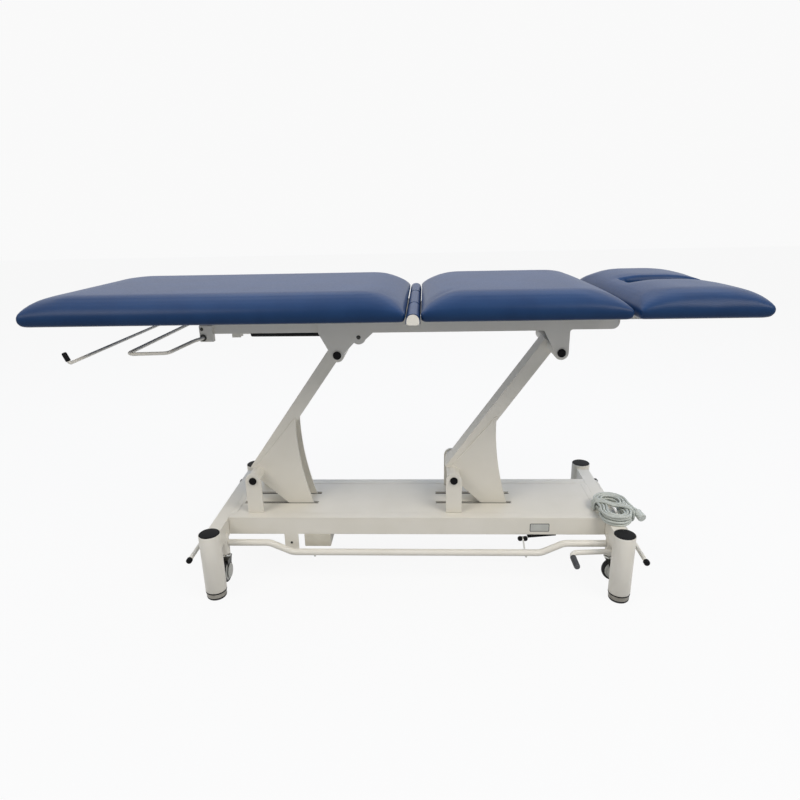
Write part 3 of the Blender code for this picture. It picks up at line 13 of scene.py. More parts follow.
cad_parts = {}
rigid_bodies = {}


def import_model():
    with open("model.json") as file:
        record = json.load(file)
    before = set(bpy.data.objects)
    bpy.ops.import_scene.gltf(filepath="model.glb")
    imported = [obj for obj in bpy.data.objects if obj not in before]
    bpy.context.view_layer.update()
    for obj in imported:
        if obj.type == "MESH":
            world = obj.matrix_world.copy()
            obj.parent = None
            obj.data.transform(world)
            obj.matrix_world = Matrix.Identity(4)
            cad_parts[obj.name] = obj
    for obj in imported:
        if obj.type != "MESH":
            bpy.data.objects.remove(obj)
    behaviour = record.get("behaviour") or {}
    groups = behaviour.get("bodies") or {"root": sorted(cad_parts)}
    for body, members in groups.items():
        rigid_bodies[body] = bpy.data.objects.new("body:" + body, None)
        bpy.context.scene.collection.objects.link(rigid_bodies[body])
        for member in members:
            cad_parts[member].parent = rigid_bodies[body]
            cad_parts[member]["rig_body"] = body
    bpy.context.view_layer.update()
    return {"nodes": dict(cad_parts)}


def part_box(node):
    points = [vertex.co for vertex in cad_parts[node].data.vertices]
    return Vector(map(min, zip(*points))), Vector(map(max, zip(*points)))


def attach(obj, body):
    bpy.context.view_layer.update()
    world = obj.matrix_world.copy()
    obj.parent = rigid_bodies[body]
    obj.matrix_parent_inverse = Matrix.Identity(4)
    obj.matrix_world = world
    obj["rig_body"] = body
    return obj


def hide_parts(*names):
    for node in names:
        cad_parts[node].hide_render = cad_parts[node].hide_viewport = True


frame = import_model()
scene = bpy.context.scene
scene.view_settings.view_transform = "Standard"
SIDES = {"near": -1.0, "far": 1.0}
ENDS = {"left": -1.0, "right": 1.0}
COLUMN_X = {"left": -0.556, "right": 0.684}
COLUMN_Y = 0.2588
ARM_PIVOT_X = {"left": -0.4544, "right": 0.1898}
FIN_Y, FIN_FOOT, FIN_HEAD = 0.0346, 0.055, 0.192


# Camera, at the photograph's viewing angle

CAMERA_PLACE = (0.1031, -1.8142, 1.1392)
CAMERA_YAW, CAMERA_PITCH, CAMERA_ROLL = -2.639, 17.802, -1.245
FOCAL_PIXELS, FRAME_PIXELS, SENSOR_MM = 591.19, 800.0, 36.0


def photograph_camera():
    yaw, pitch, roll = (math.radians(value) for value in (CAMERA_YAW, CAMERA_PITCH, CAMERA_ROLL))
    ahead = Vector((math.sin(yaw) * math.cos(pitch), math.cos(yaw) * math.cos(pitch), -math.sin(pitch)))
    level = Vector((math.cos(yaw), -math.sin(yaw), 0.0))
    upright = level.cross(ahead)
    right = math.cos(roll) * level + math.sin(roll) * upright
    up = math.cos(roll) * upright - math.sin(roll) * level
    camera = bpy.data.objects.new("photograph_camera", bpy.data.cameras.new("photograph_camera"))
    camera.data.sensor_width = SENSOR_MM
    camera.data.lens = SENSOR_MM * FOCAL_PIXELS / FRAME_PIXELS
    camera.data.clip_start = 0.05
    camera.matrix_world = Matrix.Translation(CAMERA_PLACE) @ Matrix((right, up, -ahead)).transposed().to_4x4()
    scene.collection.objects.link(camera)
    scene.camera = camera


photograph_camera()


# Finishes

def linear(code):
    """An sRGB hex colour as linear RGBA."""
    values = [int(code[i:i + 2], 16) / 255.0 for i in (1, 3, 5)]
    return (*[v / 12.92 if v <= 0.04045 else ((v + 0.055) / 1.055) ** 2.4 for v in values], 1.0)


def add(tree, kind, inputs=None, **settings):
    """One shader node, with its settings, its values and the links into it."""
    node = tree.nodes.new(kind)
    for name, value in settings.items():
        setattr(node, name, value)
    for name, value in (inputs or {}).items():
        if isinstance(value, bpy.types.NodeSocket):
            tree.links.new(value, node.inputs[name])
        else:
            node.inputs[name].default_value = value
    return node


def finish(name, **values):
    """A material with a Principled shader, its plain values set on the shader's own sockets."""
    material = bpy.data.materials.new(name)
    material.use_nodes = True
    shader = material.node_tree.nodes["Principled BSDF"]
    for key, value in values.items():
        shader.inputs[key.replace("_", " ").title()].default_value = value
    return material, material.node_tree, shader


def mottled(tree, shader, first, second, size):
    """Base colour that drifts between two close shades over patches of a real size in metres."""
    place = add(tree, "ShaderNodeTexCoord").outputs["Object"]
    drift = add(tree, "ShaderNodeTexNoise", {"Vector": place, "Scale": 1.0 / size, "Detail": 3.0})
    ramp = add(tree, "ShaderNodeValToRGB", {"Fac": drift.outputs["Fac"]})
    for stop, position, shade in zip(ramp.color_ramp.elements, (0.35, 0.65), (first, second)):
        stop.position = position
        stop.color = linear(shade)
    tree.links.new(ramp.outputs["Color"], shader.inputs["Base Color"])
    return place


def relief(tree, shader, height, strength, depth):
    """Bumps from a texture, with their depth in metres."""
    bump = add(tree, "ShaderNodeBump", {"Height": height, "Strength": strength, "Distance": depth})
    tree.links.new(bump.outputs["Normal"], shader.inputs["Normal"])


def uneven_gloss(tree, shader, pattern, low, high):
    """Roughness that varies with a texture."""
    gloss = add(tree, "ShaderNodeMapRange", {"Value": pattern, "To Min": low, "To Max": high})
    tree.links.new(gloss.outputs["Result"], shader.inputs["Roughness"])


def embossed_vinyl():
    """Upholstery vinyl, cast and embossed: a soft sheen broken by a fine leather-like grain."""
    material, tree, shader = finish("embossed_navy_vinyl", roughness=0.44)
    shader.inputs["IOR"].default_value = 1.5
    shader.inputs["Specular IOR Level"].default_value = 0.13
    place = mottled(tree, shader, "#142F53", "#183459", 0.09)
    # The pebbles of the grain are about 1 mm on the real cover, drawn at 2.2 mm so that they show
    pebbles = add(tree, "ShaderNodeTexVoronoi", {"Vector": place, "Scale": 1.0 / 0.0022}, feature="SMOOTH_F1")
    creases = add(tree, "ShaderNodeTexNoise", {"Vector": place, "Scale": 1.0 / 0.006, "Detail": 4.0})
    grain = add(tree, "ShaderNodeMath", {0: pebbles.outputs["Distance"], 1: creases.outputs["Fac"]}, operation="ADD")
    relief(tree, shader, grain.outputs["Value"], 0.16, 0.0006)
    uneven_gloss(tree, shader, creases.outputs["Fac"], 0.31, 0.41)
    return material


def powder_coat():
    """Polyester powder coat baked on steel: off-white, satin, with a slight orange peel."""
    material, tree, shader = finish("off_white_powder_coat", roughness=0.42)
    shader.inputs["IOR"].default_value = 1.5
    place = mottled(tree, shader, "#DEDBD1", "#E3E0D7", 0.14)
    # Orange peel of about 1.5 mm, drawn at 3 mm so that it shows
    peel = add(tree, "ShaderNodeTexNoise", {"Vector": place, "Scale": 1.0 / 0.003, "Detail": 1.0})
    relief(tree, shader, peel.outputs["Fac"], 0.10, 0.0004)
    uneven_gloss(tree, shader, peel.outputs["Fac"], 0.38, 0.47)
    return material


def moulded(name, first, second, roughness, gloss=0.5):
    """Injection-moulded plastic: an even colour with the fine spark-eroded texture of its tool."""
    material, tree, shader = finish(name, roughness=roughness)
    shader.inputs["IOR"].default_value = 1.48
    shader.inputs["Specular IOR Level"].default_value = gloss
    place = mottled(tree, shader, first, second, 0.03)
    texture = add(tree, "ShaderNodeTexNoise", {"Vector": place, "Scale": 1.0 / 0.0012, "Detail": 2.0})
    relief(tree, shader, texture.outputs["Fac"], 0.12, 0.0003)
    return material


def zinc_plate(name, first, second, low=0.22, high=0.40):
    """Zinc plate on turned or pressed steel: a grey metal with cloudy patches."""
    material, tree, shader = finish(name, metallic=1.0, roughness=(low + high) / 2)
    place = mottled(tree, shader, first, second, 0.02)
    cloud = add(tree, "ShaderNodeTexNoise", {"Vector": place, "Scale": 1.0 / 0.004, "Detail": 4.0})
    uneven_gloss(tree, shader, cloud.outputs["Fac"], low, high)
    return material


VINYL = embossed_vinyl()
POWDER = powder_coat()
BLACK = moulded("black_moulded_nylon", "#0B0B0D", "#101012", 0.48, gloss=0.1)
GREY = moulded("light_grey_moulded_nylon", "#B4B6B2", "#BEC0BC", 0.45)
DARK_GREY = moulded("dark_grey_soft_grip", "#3A3B3E", "#434447", 0.62)
RUBBER = moulded("black_tread_rubber", "#18191A", "#202122", 0.60, gloss=0.25)
CORD = moulded("light_grey_cord_sheath", "#B9BFBA", "#C6CCC7", 0.40)
# Painted shade: the control box's warm grey is the powder coat's hue made darker, to stand for the shade it sits in
SHADED_WARM_GREY = moulded("shaded_warm_grey_moulded_abs", "#C6C2B4", "#CECABD", 0.45)
ZINC = zinc_plate("bright_zinc_plate", "#B9B9B4", "#CBCBC6")
DULL_ZINC = zinc_plate("dull_zinc_plate", "#77746D", "#918E87", 0.30, 0.48)
BLACK_ZINC = zinc_plate("black_zinc_plate", "#343432", "#444441", 0.30, 0.48)


# Making pieces

def body_of(node):
    return frame["nodes"][node]["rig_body"]


def place_piece(name, data, material, body):
    piece = bpy.data.objects.new(name, data)
    scene.collection.objects.link(piece)
    data.materials.clear()
    data.materials.append(material)
    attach(piece, body)
    return piece


def meshed(shape, name):
    """The mesh of a finished shape."""
    mesh = bpy.data.meshes.new(name)
    shape.to_mesh(mesh)
    shape.free()
    return mesh


def smooth(mesh, angle=35.0):
    mesh.shade_smooth()
    mesh.set_sharp_from_angle(angle=math.radians(angle))
    return mesh


def welded(node):
    """A CAD node's shape with its triangles joined back into flat faces."""
    shape = bmesh.new()
    shape.from_mesh(frame["nodes"][node].data)
    bmesh.ops.remove_doubles(shape, verts=shape.verts, dist=0.00001)
    bmesh.ops.dissolve_limit(shape, angle_limit=math.radians(0.8), verts=shape.verts, edges=shape.edges)
    return shape


def eased(node, material, width=0.0015, segments=3):
    """A plate, tube or moulding with its edges eased, as bent steel and moulded plastic have them."""
    mesh = meshed(welded(node), node + "_eased")
    piece = place_piece(node + "_eased", smooth(mesh, 30.0), material, body_of(node))
    bevel = piece.modifiers.new("eased_edges", "BEVEL")
    bevel.width = width
    bevel.segments = segments
    bevel.limit_method = "ANGLE"
    bevel.angle_limit = math.radians(32.0)
    bevel.use_clamp_overlap = True
    bevel.harden_normals = True
    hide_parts(node)


def turned(name, profile, start, along, material, body, steps=48):
    """A round piece turned from (radius, height) points along an axis from its start."""
    along = Vector(along).normalized()
    place = Matrix.Translation(Vector(start)) @ along.to_track_quat("Z", "Y").to_matrix().to_4x4()
    shape = bmesh.new()
    rings = []
    for radius, height in profile:
        ring = []
        for step in range(steps if radius > 0.0 else 1):
            angle = 2.0 * math.pi * step / steps
            ring.append(shape.verts.new(place @ Vector((radius * math.cos(angle), radius * math.sin(angle), height))))
        rings.append(ring)
    for lower, upper in zip(rings, rings[1:]):
        for step in range(steps):
            after = (step + 1) % steps
            corners = [lower[step % len(lower)], lower[after % len(lower)],
                       upper[after % len(upper)], upper[step % len(upper)]]
            shape.faces.new(list(dict.fromkeys(corners)))
    bmesh.ops.recalc_face_normals(shape, faces=shape.faces)
    return place_piece(name, smooth(meshed(shape, name)), material, body)


def dome(radius, height, edge):
    """The profile of a capped disc: square foot, rounded edge and a slight dome."""
    points = [(0.0, 0.0), (radius, 0.0)]
    for step in range(7):
        angle = math.pi / 2.0 * step / 6
        points.append((radius - edge + edge * math.cos(angle), height - edge + edge * math.sin(angle)))
    points.append(((radius - edge) * 0.5, height + edge * 0.15))
    points.append((0.0, height + edge * 0.2))
    return points


def bent(corners, radius, steps=9):
    """A path through the corners with each inner corner rounded."""
    corners = [Vector(corner) for corner in corners]
    path = [corners[0]]
    for before, corner, after in zip(corners, corners[1:], corners[2:]):
        to_before = (before - corner).normalized()
        to_after = (after - corner).normalized()
        half = to_before.angle(to_after) / 2
        reach = radius / math.tan(half)
        centre = corner + (to_before + to_after).normalized() * (radius / math.sin(half))
        first = corner + to_before * reach - centre
        last = corner + to_after * reach - centre
        sweep = first.angle(last)
        for step in range(steps + 1):
            share = step / steps
            spoke = first * math.sin((1 - share) * sweep) + last * math.sin(share * sweep)
            path.append(centre + spoke / math.sin(sweep))
    path.append(corners[-1])
    return path


def rod(name, points, radius, material, body, resolution=6):
    """A round bar or cord along a path, with closed ends."""
    curve = bpy.data.curves.new(name, "CURVE")
    curve.dimensions = "3D"
    curve.bevel_depth = radius
    curve.bevel_resolution = resolution
    curve.use_fill_caps = True
    spline = curve.splines.new("POLY")
    spline.points.add(len(points) - 1)
    for point, spot in zip(spline.points, points):
        point.co = (*spot, 1.0)
    spline.use_smooth = True
    return place_piece(name, curve, material, body)


# Mains cord: gland, tied hank and plug, on the right end beam

CORD_RADIUS, SEAT_GAP, BASE_TOP = 0.004, 0.0003, 0.2072
HANK_X, HANK_Y, HANK_BOTTOM = 0.690, -0.115, BASE_TOP + SEAT_GAP + CORD_RADIUS
HANK_RUN, HANK_FOLD, HANK_STEP, HANK_RISE, HANK_WAIST = 0.070, 0.026, 0.0098, 0.0092, 0.006
RUN_POINTS, FOLD_POINTS = 5, 7
LOOP_POINTS = 2 * (RUN_POINTS + FOLD_POINTS)
# A tie strand: half its reach across the hank, its height, its dip into the hank's hollow and its slant
TIE_HALF, TIE_HEIGHT, TIE_DIP, TIE_SLANT, TIE_RADIUS = 0.0535, 0.0334, 0.0045, -0.56, 0.0036
TIE_SHIFTS = (-0.0085, 0.0, 0.0085)
TIE_END = [(0.0520, -0.0040), (0.0470, -0.0072), (0.0380, -0.0080), (0.0260, -0.0080)]
GLAND_START = (0.7043, 0.045, 0.182)
GLAND = [(0.0, 0.0), (0.0098, 0.0), (0.0098, 0.007), (0.0085, 0.0085), (0.0078, 0.0165), (0.0064, 0.0175),
         (0.0060, 0.022), (0.0054, 0.0225), (0.0050, 0.028), (0.0, 0.028)]
PLUG = [(0.0, 0.0), (0.0052, 0.0), (0.0062, 0.002), (0.0058, 0.004), (0.0070, 0.006), (0.0066, 0.008), (0.0080, 0.010),
        (0.0100, 0.013), (0.0124, 0.016), (0.0130, 0.020), (0.0124, 0.024), (0.0124, 0.030), (0.0130, 0.034),
        (0.0130, 0.043), (0.0122, 0.045), (0.0, 0.045)]


def hank_point(turns, spread, height):
    """A point of the hank: how far round the loop, how far out of the inner loop, and how high."""
    half, step = divmod((turns % 1.0) * LOOP_POINTS, LOOP_POINTS / 2)
    heading = -1.0 if half < 1 else 1.0
    radius = HANK_FOLD + spread
    if step < RUN_POINTS:
        along = -HANK_RUN / 2 + HANK_RUN * step / RUN_POINTS
        side = radius - HANK_WAIST * math.cos(math.pi * along / HANK_RUN) ** 2
    else:
        angle = math.pi * (step - RUN_POINTS) / FOLD_POINTS
        along = HANK_RUN / 2 + radius * math.sin(angle)
        side = radius * math.cos(angle)
    return Vector((HANK_X - heading * side, HANK_Y + heading * along, height))


def hank_path():
    """Four layers of two loops that spiral in and out, climbing where the spiral turns back."""
    path, turns, fine = [], 0.0, 2
    for layer in range(4):
        inward = layer % 2 == 0
        height = HANK_BOTTOM + layer * HANK_RISE
        steps = 2 * LOOP_POINTS * fine
        last = LOOP_POINTS * fine // 2 + 1 if layer == 3 else 0
        for step in range(steps + last):
            share = step / steps
            spread = 2 * HANK_STEP * (1 - share if inward else share)
            path.append(hank_point(turns + step / (LOOP_POINTS * fine), spread, height))
        turns += 2
        if layer < 3:
            climb = LOOP_POINTS * fine // 2
            for step in range(climb):
                rise = HANK_RISE * step / climb
                spread = 0.0 if inward else 2 * HANK_STEP
                path.append(hank_point(turns + step / (LOOP_POINTS * fine), spread, height + rise))
            turns += 0.5
    return path


def smooth_through(points, steps):
    """A smooth curve through given points."""
    padded = [2 * points[0] - points[1], *points, 2 * points[-1] - points[-2]]
    path = []
    for a, b, c, d in zip(padded, padded[1:], padded[2:], padded[3:]):
        for step in range(steps):
            t = step / steps
            path.append(0.5 * (2 * b + (c - a) * t + (2 * a - 5 * b + 4 * c - d) * t ** 2
                               + (3 * b - a - 3 * c + d) * t ** 3))
    path.append(points[-1])
    return path


def mains_cord():
    """The cord from its gland through its hank to the plug, and the strands that tie the hank."""
    exit_point = Vector((0.7323 + SEAT_GAP, 0.045, 0.182))
    lead = [exit_point + Vector((0.008, 0.0, 0.0))]
    lead += [Vector(spot) for spot in ((0.752, 0.0445, 0.182), (0.768, 0.035, 0.184), (0.775, 0.014, 0.189),
                                       (0.769, -0.010, 0.196), (0.755, -0.035, 0.204), (0.742, -0.058, 0.2105))]
    loops = hank_path()
    plug_start = Vector((0.7515, -0.128, 0.2335))
    heading = Vector((0.30, -0.92, -0.25)).normalized()
    tail = [loops[-1], Vector((0.7412, -0.093, 0.2388)), Vector((0.7435, -0.106, 0.2375))]
    tail += [plug_start - heading * 0.0083]
    path = [exit_point, *smooth_through([*lead, loops[0]], 4), *loops[1:-1], *smooth_through(tail, 4)]
    path.append(plug_start - heading * SEAT_GAP)
    cord = rod("mains_cord", path, CORD_RADIUS, CORD, "base", 3)
    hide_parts("cord_hank")
    plug = turned("mains_plug", PLUG, plug_start, heading, CORD, "base", 32)
    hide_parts("cord_plug")
    gland = turned("cord_gland_nut", GLAND, GLAND_START, (1, 0, 0), BLACK, "base", 24)
    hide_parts("cord_gland")
    # Three strands of thinner cord tie the hank, aslant over its waist and tucked under at both sides
    for strand, shift in enumerate(TIE_SHIFTS):
        over = []
        for step in range(33):
            angle = math.pi * step / 32.0
            side = math.copysign(abs(math.cos(angle)) ** 0.35, math.cos(angle))
            dip = TIE_DIP * max(0.0, 1.0 - (side / 0.33) ** 2)
            over.append((-TIE_HALF * side, 0.001 + TIE_HEIGHT * math.sin(angle) ** 0.35 - dip))
        path = [Vector((HANK_X + x, HANK_Y + shift + TIE_SLANT * x, HANK_BOTTOM + z)) for x, z in over + TIE_END]
        rod(f"cord_tie_{strand}", path, TIE_RADIUS, CORD, "base", 3)


mains_cord()


# Pads

EDGE_Z, BOARD_Z = 0.886, 0.864
# How a cover rolls over to its crown at each kind of edge: its reach inwards, its power and its fullness
SIDE_ROLL, HINGE_END = (0.088, 1.95, 0.47), (0.130, 2.0, 0.50)
FOOT_END, CROWN_END = (0.120, 1.6, 0.19), (0.135, 1.7, 0.31)
TURN_UNDER, PLAN_CORNER = 0.019, 0.010
# The rim beside a hinge strip turns under less, by this share
FULL_RIM = 0.55
SLOT_START, SLOT_HALF, SLOT_ROLL = 0.700, 0.048, 0.012
# The cover sinks along the slot's edge by this depth, fading in above this height
SLOT_SINK, SINK_FROM_Z, SINK_FADE, SLOT_HELD = 0.010, 0.885, 0.03, 0.003
# How far past its board's plan a cover starts, and how far it may end: at a hinge, at a free end and at its sides
HINGE_REACH, FREE_REACH, SIDE_REACH = 0.003, 0.006, -0.001
HINGE_SLACK, FREE_SLACK, SIDE_SLACK = 0.001, 0.008, 0.002
COVER_MESH, HELD_HEIGHT, SWELL_FRAMES, EVENING_ROUNDS = 0.006, 0.007, 20, 14
# The tucks gathered under each corner: how far from it they reach, how high, how deep and how many in a turn
CORNER_REACH, TUCK_HEIGHT, TUCK_DEPTH, TUCK_TURNS = 0.075, 0.016, 0.0010, 95.0


def rolled(distance, roll):
    """How much of its crown a cover has reached at a distance in from its edge, from 0 to 1."""
    reach, power, fullness = roll
    return (1.0 - (1.0 - min(1.0, max(0.0, distance) / reach)) ** power) ** fullness


def rounded_plan(x, y, inset, low, high):
    """A point of a pad's plan, moved in from the edge, with the plan's corners rounded."""
    middle, half = (low + high) / 2, (high - low) / 2
    away = [x - middle.x, y - middle.y]
    away = [part * (1.0 - inset / size) for part, size in zip(away, half.xy)]
    straight = [size - inset - PLAN_CORNER for size in half.xy]
    past = [abs(part) - limit for part, limit in zip(away, straight)]
    if min(past) > 0.0:
        share = max(past) / math.hypot(*past)
        away = [math.copysign(limit + beyond * share, part) for part, limit, beyond in zip(away, straight, past)]
    return middle.x + away[0], middle.y + away[1]


def crowded(low, high, count):
    """Stations from low to high that lie closer together near both ends."""
    return [low + (high - low) * (0.5 - 0.5 * math.cos(math.pi * step / count)) for step in range(count + 1)]


def cover_form(low, high, crown, foot_roll, head_roll):
    """The cover before it swells: a crowned top, a rim that turns under and a flat underside on its board."""
    def turned_in(x, y, inset):
        first = low - Vector((FULL_RIM * inset if foot_roll is HINGE_END else 0.0, 0.0, 0.0))
        last = high + Vector((FULL_RIM * inset if head_roll is HINGE_END else 0.0, 0.0, 0.0))
        along = first.x + (last.x - first.x) * (x - low.x) / (high.x - low.x)
        return rounded_plan(along, y, inset, first, last)

    shape = bmesh.new()
    columns, rows = 72, 48
    lengthways, across = crowded(low.x, high.x, columns), crowded(low.y, high.y, rows)
    top, under = {}, {}
    for i, x in enumerate(lengthways):
        for j, y in enumerate(across):
            share = rolled(x - low.x, foot_roll) * rolled(high.x - x, head_roll)
            share *= rolled(min(y - low.y, high.y - y), SIDE_ROLL)
            top[i, j] = shape.verts.new((*rounded_plan(x, y, 0.0, low, high), EDGE_Z + (crown - EDGE_Z) * share))
            under[i, j] = shape.verts.new((*turned_in(x, y, TURN_UNDER), BOARD_Z))
    for i in range(columns):
        for j in range(rows):
            for grid in (top, under):
                shape.faces.new((grid[i, j], grid[i + 1, j], grid[i + 1, j + 1], grid[i, j + 1]))
    edge = [(i, 0) for i in range(columns)] + [(columns, j) for j in range(rows)]
    edge += [(i, rows) for i in range(columns, 0, -1)] + [(0, j) for j in range(rows, 0, -1)]
    ring = [top[spot] for spot in edge]
    for step in range(1, 6):
        angle = math.pi / 2 * step / 5
        inset, drop = TURN_UNDER * (1.0 - math.cos(angle)), (EDGE_Z - BOARD_Z) * math.sin(angle)
        if step < 5:
            lower = [shape.verts.new((*turned_in(lengthways[i], across[j], inset), EDGE_Z - drop)) for i, j in edge]
        else:
            lower = [under[spot] for spot in edge]
        for place in range(len(edge)):
            shape.faces.new((ring[place - 1], ring[place], lower[place], lower[place - 1]))
        ring = lower
    bmesh.ops.recalc_face_normals(shape, faces=shape.faces)
    return shape


def face_slot_cutter(high):
    """The block that the face slot is cut with, open at the head end and round in its inner corners."""
    shape = bmesh.new()
    outline = [(high.x + 0.03, -SLOT_HALF)]
    for centre_y, first in ((-SLOT_HALF + SLOT_ROLL, -90.0), (SLOT_HALF - SLOT_ROLL, -180.0)):
        for step in range(7):
            angle = math.radians(first - 90.0 * step / 6)
            corner_x = SLOT_START + SLOT_ROLL + SLOT_ROLL * math.cos(angle)
            outline.append((corner_x, centre_y + SLOT_ROLL * math.sin(angle)))
    outline.append((high.x + 0.03, SLOT_HALF))
    foot, head = ([shape.verts.new((x, y, z)) for x, y in outline] for z in (BOARD_Z - 0.02, high.z + 0.02))
    shape.faces.new(foot)
    shape.faces.new(head)
    for step in range(len(outline)):
        shape.faces.new((foot[step - 1], foot[step], head[step], head[step - 1]))
    bmesh.ops.recalc_face_normals(shape, faces=shape.faces)
    return bpy.data.objects.new("face_slot_cutter", meshed(shape, "face_slot_cutter"))


def slot_distance(point):
    """How far a point of the head pad is outside the face slot."""
    return math.hypot(max(0.0, SLOT_START - point.x), max(0.0, abs(point.y) - SLOT_HALF))


def corner_pull(point, low, high):
    """How close a point of a pad is to one of its four corners, from 0 to 1."""
    away = min((Vector((x, y)) - point.xy).length for x in (low.x, high.x) for y in (low.y, high.y))
    return max(0.0, 1.0 - away / CORNER_REACH)


def evened(mesh, moves, rounds):
    """The swelling of a cover evened out over its neighbours, as the foam under it holds it without folds."""
    beside = [[] for _ in moves]
    for edge in mesh.edges:
        first, second = edge.vertices
        beside[first].append(second)
        beside[second].append(first)
    for _ in range(rounds):
        moves = [move * 0.4 + sum((moves[other] for other in others), Vector()) * (0.6 / len(others))
                 for move, others in zip(moves, beside)]
    return moves


def foam_pad(name, node, cap, crown, foot_roll, head_roll, slotted=False):
    """A vinyl cover stretched over crowned foam, blown up by cloth simulation and held at its board."""
    low, high = (Vector(corner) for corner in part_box(node))
    # The cover starts a little small at its sides, so that it can swell to its size
    reach = [HINGE_REACH if roll is HINGE_END else FREE_REACH for roll in (foot_roll, head_roll)]
    cover_low = low - Vector((reach[0], SIDE_REACH, 0.0))
    cover_high = high + Vector((reach[1], SIDE_REACH, 0.0))
    shape = cover_form(cover_low, cover_high, crown, foot_roll, head_roll)
    piece = place_piece(name, meshed(shape, name), VINYL, body_of(node))
    graph = bpy.context.evaluated_depsgraph_get
    cutter = face_slot_cutter(high) if slotted else None
    if slotted:
        scene.collection.objects.link(cutter)
        cut = piece.modifiers.new("face_slot", "BOOLEAN")
        cut.object = cutter
        cut.operation = "DIFFERENCE"
    remesh = piece.modifiers.new("cover", "REMESH")
    remesh.mode = "VOXEL"
    remesh.voxel_size = COVER_MESH
    bpy.context.view_layer.update()
    covered = bpy.data.meshes.new_from_object(piece.evaluated_get(graph()))
    piece.modifiers.clear()
    piece.data = covered
    if slotted:
        bpy.data.objects.remove(cutter)
        for vert in covered.vertices:
            near = max(0.0, 1.0 - slot_distance(vert.co) / SLOT_ROLL)
            vert.co.z -= SLOT_SINK * near ** 2 * min(1.0, max(0.0, (vert.co.z - SINK_FROM_Z) / SINK_FADE))
    start = [vert.co.copy() for vert in covered.vertices]
    held = piece.vertex_groups.new(name="board")
    held.add([vert.index for vert in covered.vertices
              if vert.co.z < low.z + HELD_HEIGHT or slotted and slot_distance(vert.co) < SLOT_HELD], 1.0, "REPLACE")
    cloth = piece.modifiers.new("cover", "CLOTH")
    cloth.settings.quality = 4
    cloth.settings.use_pressure = True
    cloth.settings.uniform_pressure_force = 4.0
    cloth.settings.effector_weights.gravity = 0.0
    cloth.settings.vertex_group_mass = "board"
    cloth.settings.tension_stiffness = 25.0
    cloth.settings.compression_stiffness = 25.0
    cloth.settings.bending_stiffness = 2.0
    for moment in range(1, SWELL_FRAMES + 1):
        scene.frame_set(moment)
    blown = piece.evaluated_get(graph()).to_mesh()
    ends = [vert.co.copy() for vert in blown.vertices]
    piece.modifiers.clear()
    moves = [last - first for first, last in zip(start, ends)]
    moves = [move * min(1.0, cap / max(move.length, 1e-9)) for move in moves]
    moves = evened(piece.data, moves, EVENING_ROUNDS)
    for vert, first, move in zip(piece.data.vertices, start, moves):
        vert.co = first + move
    scene.frame_set(1)
    # The board under the foam keeps the cover within its plan, with tucks where it is gathered under each corner
    middle = (low + high) / 2
    slack = [HINGE_SLACK if roll is HINGE_END else FREE_SLACK for roll in (foot_roll, head_roll)]
    for vert in piece.data.vertices:
        pull = corner_pull(vert.co, low, high)
        height = vert.co.z - low.z
        if pull > 0.0 and height < TUCK_HEIGHT:
            turn = math.atan2(vert.co.y - middle.y, vert.co.x - middle.x)
            wave = math.sin(turn * TUCK_TURNS) * TUCK_DEPTH * pull * (1.0 - height / TUCK_HEIGHT)
            vert.co += Vector((math.cos(turn), math.sin(turn), 0.0)) * wave
        vert.co.x = min(max(vert.co.x, low.x - slack[0]), high.x + slack[1])
        vert.co.y = min(max(vert.co.y, low.y - SIDE_SLACK), high.y + SIDE_SLACK)
        vert.co.z = max(vert.co.z, low.z)
    piece.data.materials.clear()
    piece.data.materials.append(VINYL)
    piece.data.shade_smooth()
    finer = piece.modifiers.new("finer", "SUBSURF")
    finer.levels = 1
    finer.render_levels = 1
    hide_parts(node)


foam_pad("long_vinyl_pad", "long_pad", 0.004, 0.935, FOOT_END, HINGE_END)
foam_pad("mid_vinyl_pad", "mid_pad", 0.004, 0.933, HINGE_END, HINGE_END)
foam_pad("head_vinyl_pad", "head_pad", 0.003, 0.934, HINGE_END, CROWN_END, slotted=True)


# Base

COLUMN_TUBE = [(0.0, 0.0262), (0.0316, 0.0262), (0.0320, 0.0268), (0.0320, 0.2178), (0.0318, 0.2184), (0.0313, 0.2187),
               (0.0311, 0.2183), (0.0311, 0.2150), (0.0, 0.2150)]
FOOT_RING = [(0.0, 0.0218), (0.0316, 0.0218), (0.0321, 0.0222), (0.0321, 0.0257), (0.0316, 0.0261), (0.0, 0.0261)]
LEVELLING_FOOT = [(0.0, 0.0080), (0.0301, 0.0080), (0.0304, 0.0084), (0.0306, 0.0150), (0.0312, 0.0196),
                  (0.0308, 0.0216), (0.0, 0.0216)]
FOOT_SOLE = [(0.0, 0.0), (0.0262, 0.0), (0.0285, 0.0010), (0.0299, 0.0030), (0.0304, 0.0060), (0.0304, 0.0079),
             (0.0, 0.0079)]
CAP_SEAT_Z = 0.2151
SWITCH_ROLLER = [(0.0, 0.0), (0.0070, 0.0), (0.0078, 0.0009), (0.0078, 0.0062), (0.0070, 0.0071), (0.0, 0.0071)]


def columns():
    """Round columns: a steel tube, a black cap over its whole top, a black ring and a zinc foot on a rubber sole."""
    up = (0, 0, 1)
    for end in ENDS:
        for side, sign in SIDES.items():
            place = f"{side}_{end}"
            foot = Vector((COLUMN_X[end], sign * COLUMN_Y, 0.0))
            tube = turned(f"column_tube_{place}", COLUMN_TUBE, foot, up, POWDER, "base", 64)
            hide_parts(f"column_{place}")
            turned(f"column_cap_{place}", dome(0.0309, 0.0050, 0.0020), foot + Vector((0, 0, CAP_SEAT_Z)), up, BLACK,
                   "base", 64)
            turned(f"foot_ring_{place}", FOOT_RING, foot, up, BLACK, "base", 64)
            pad = turned(f"levelling_foot_{place}", LEVELLING_FOOT, foot, up, DULL_ZINC, "base", 64)
            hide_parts(f"foot_{place}")
            turned(f"foot_sole_{place}", FOOT_SOLE, foot, up, RUBBER, "base", 64)


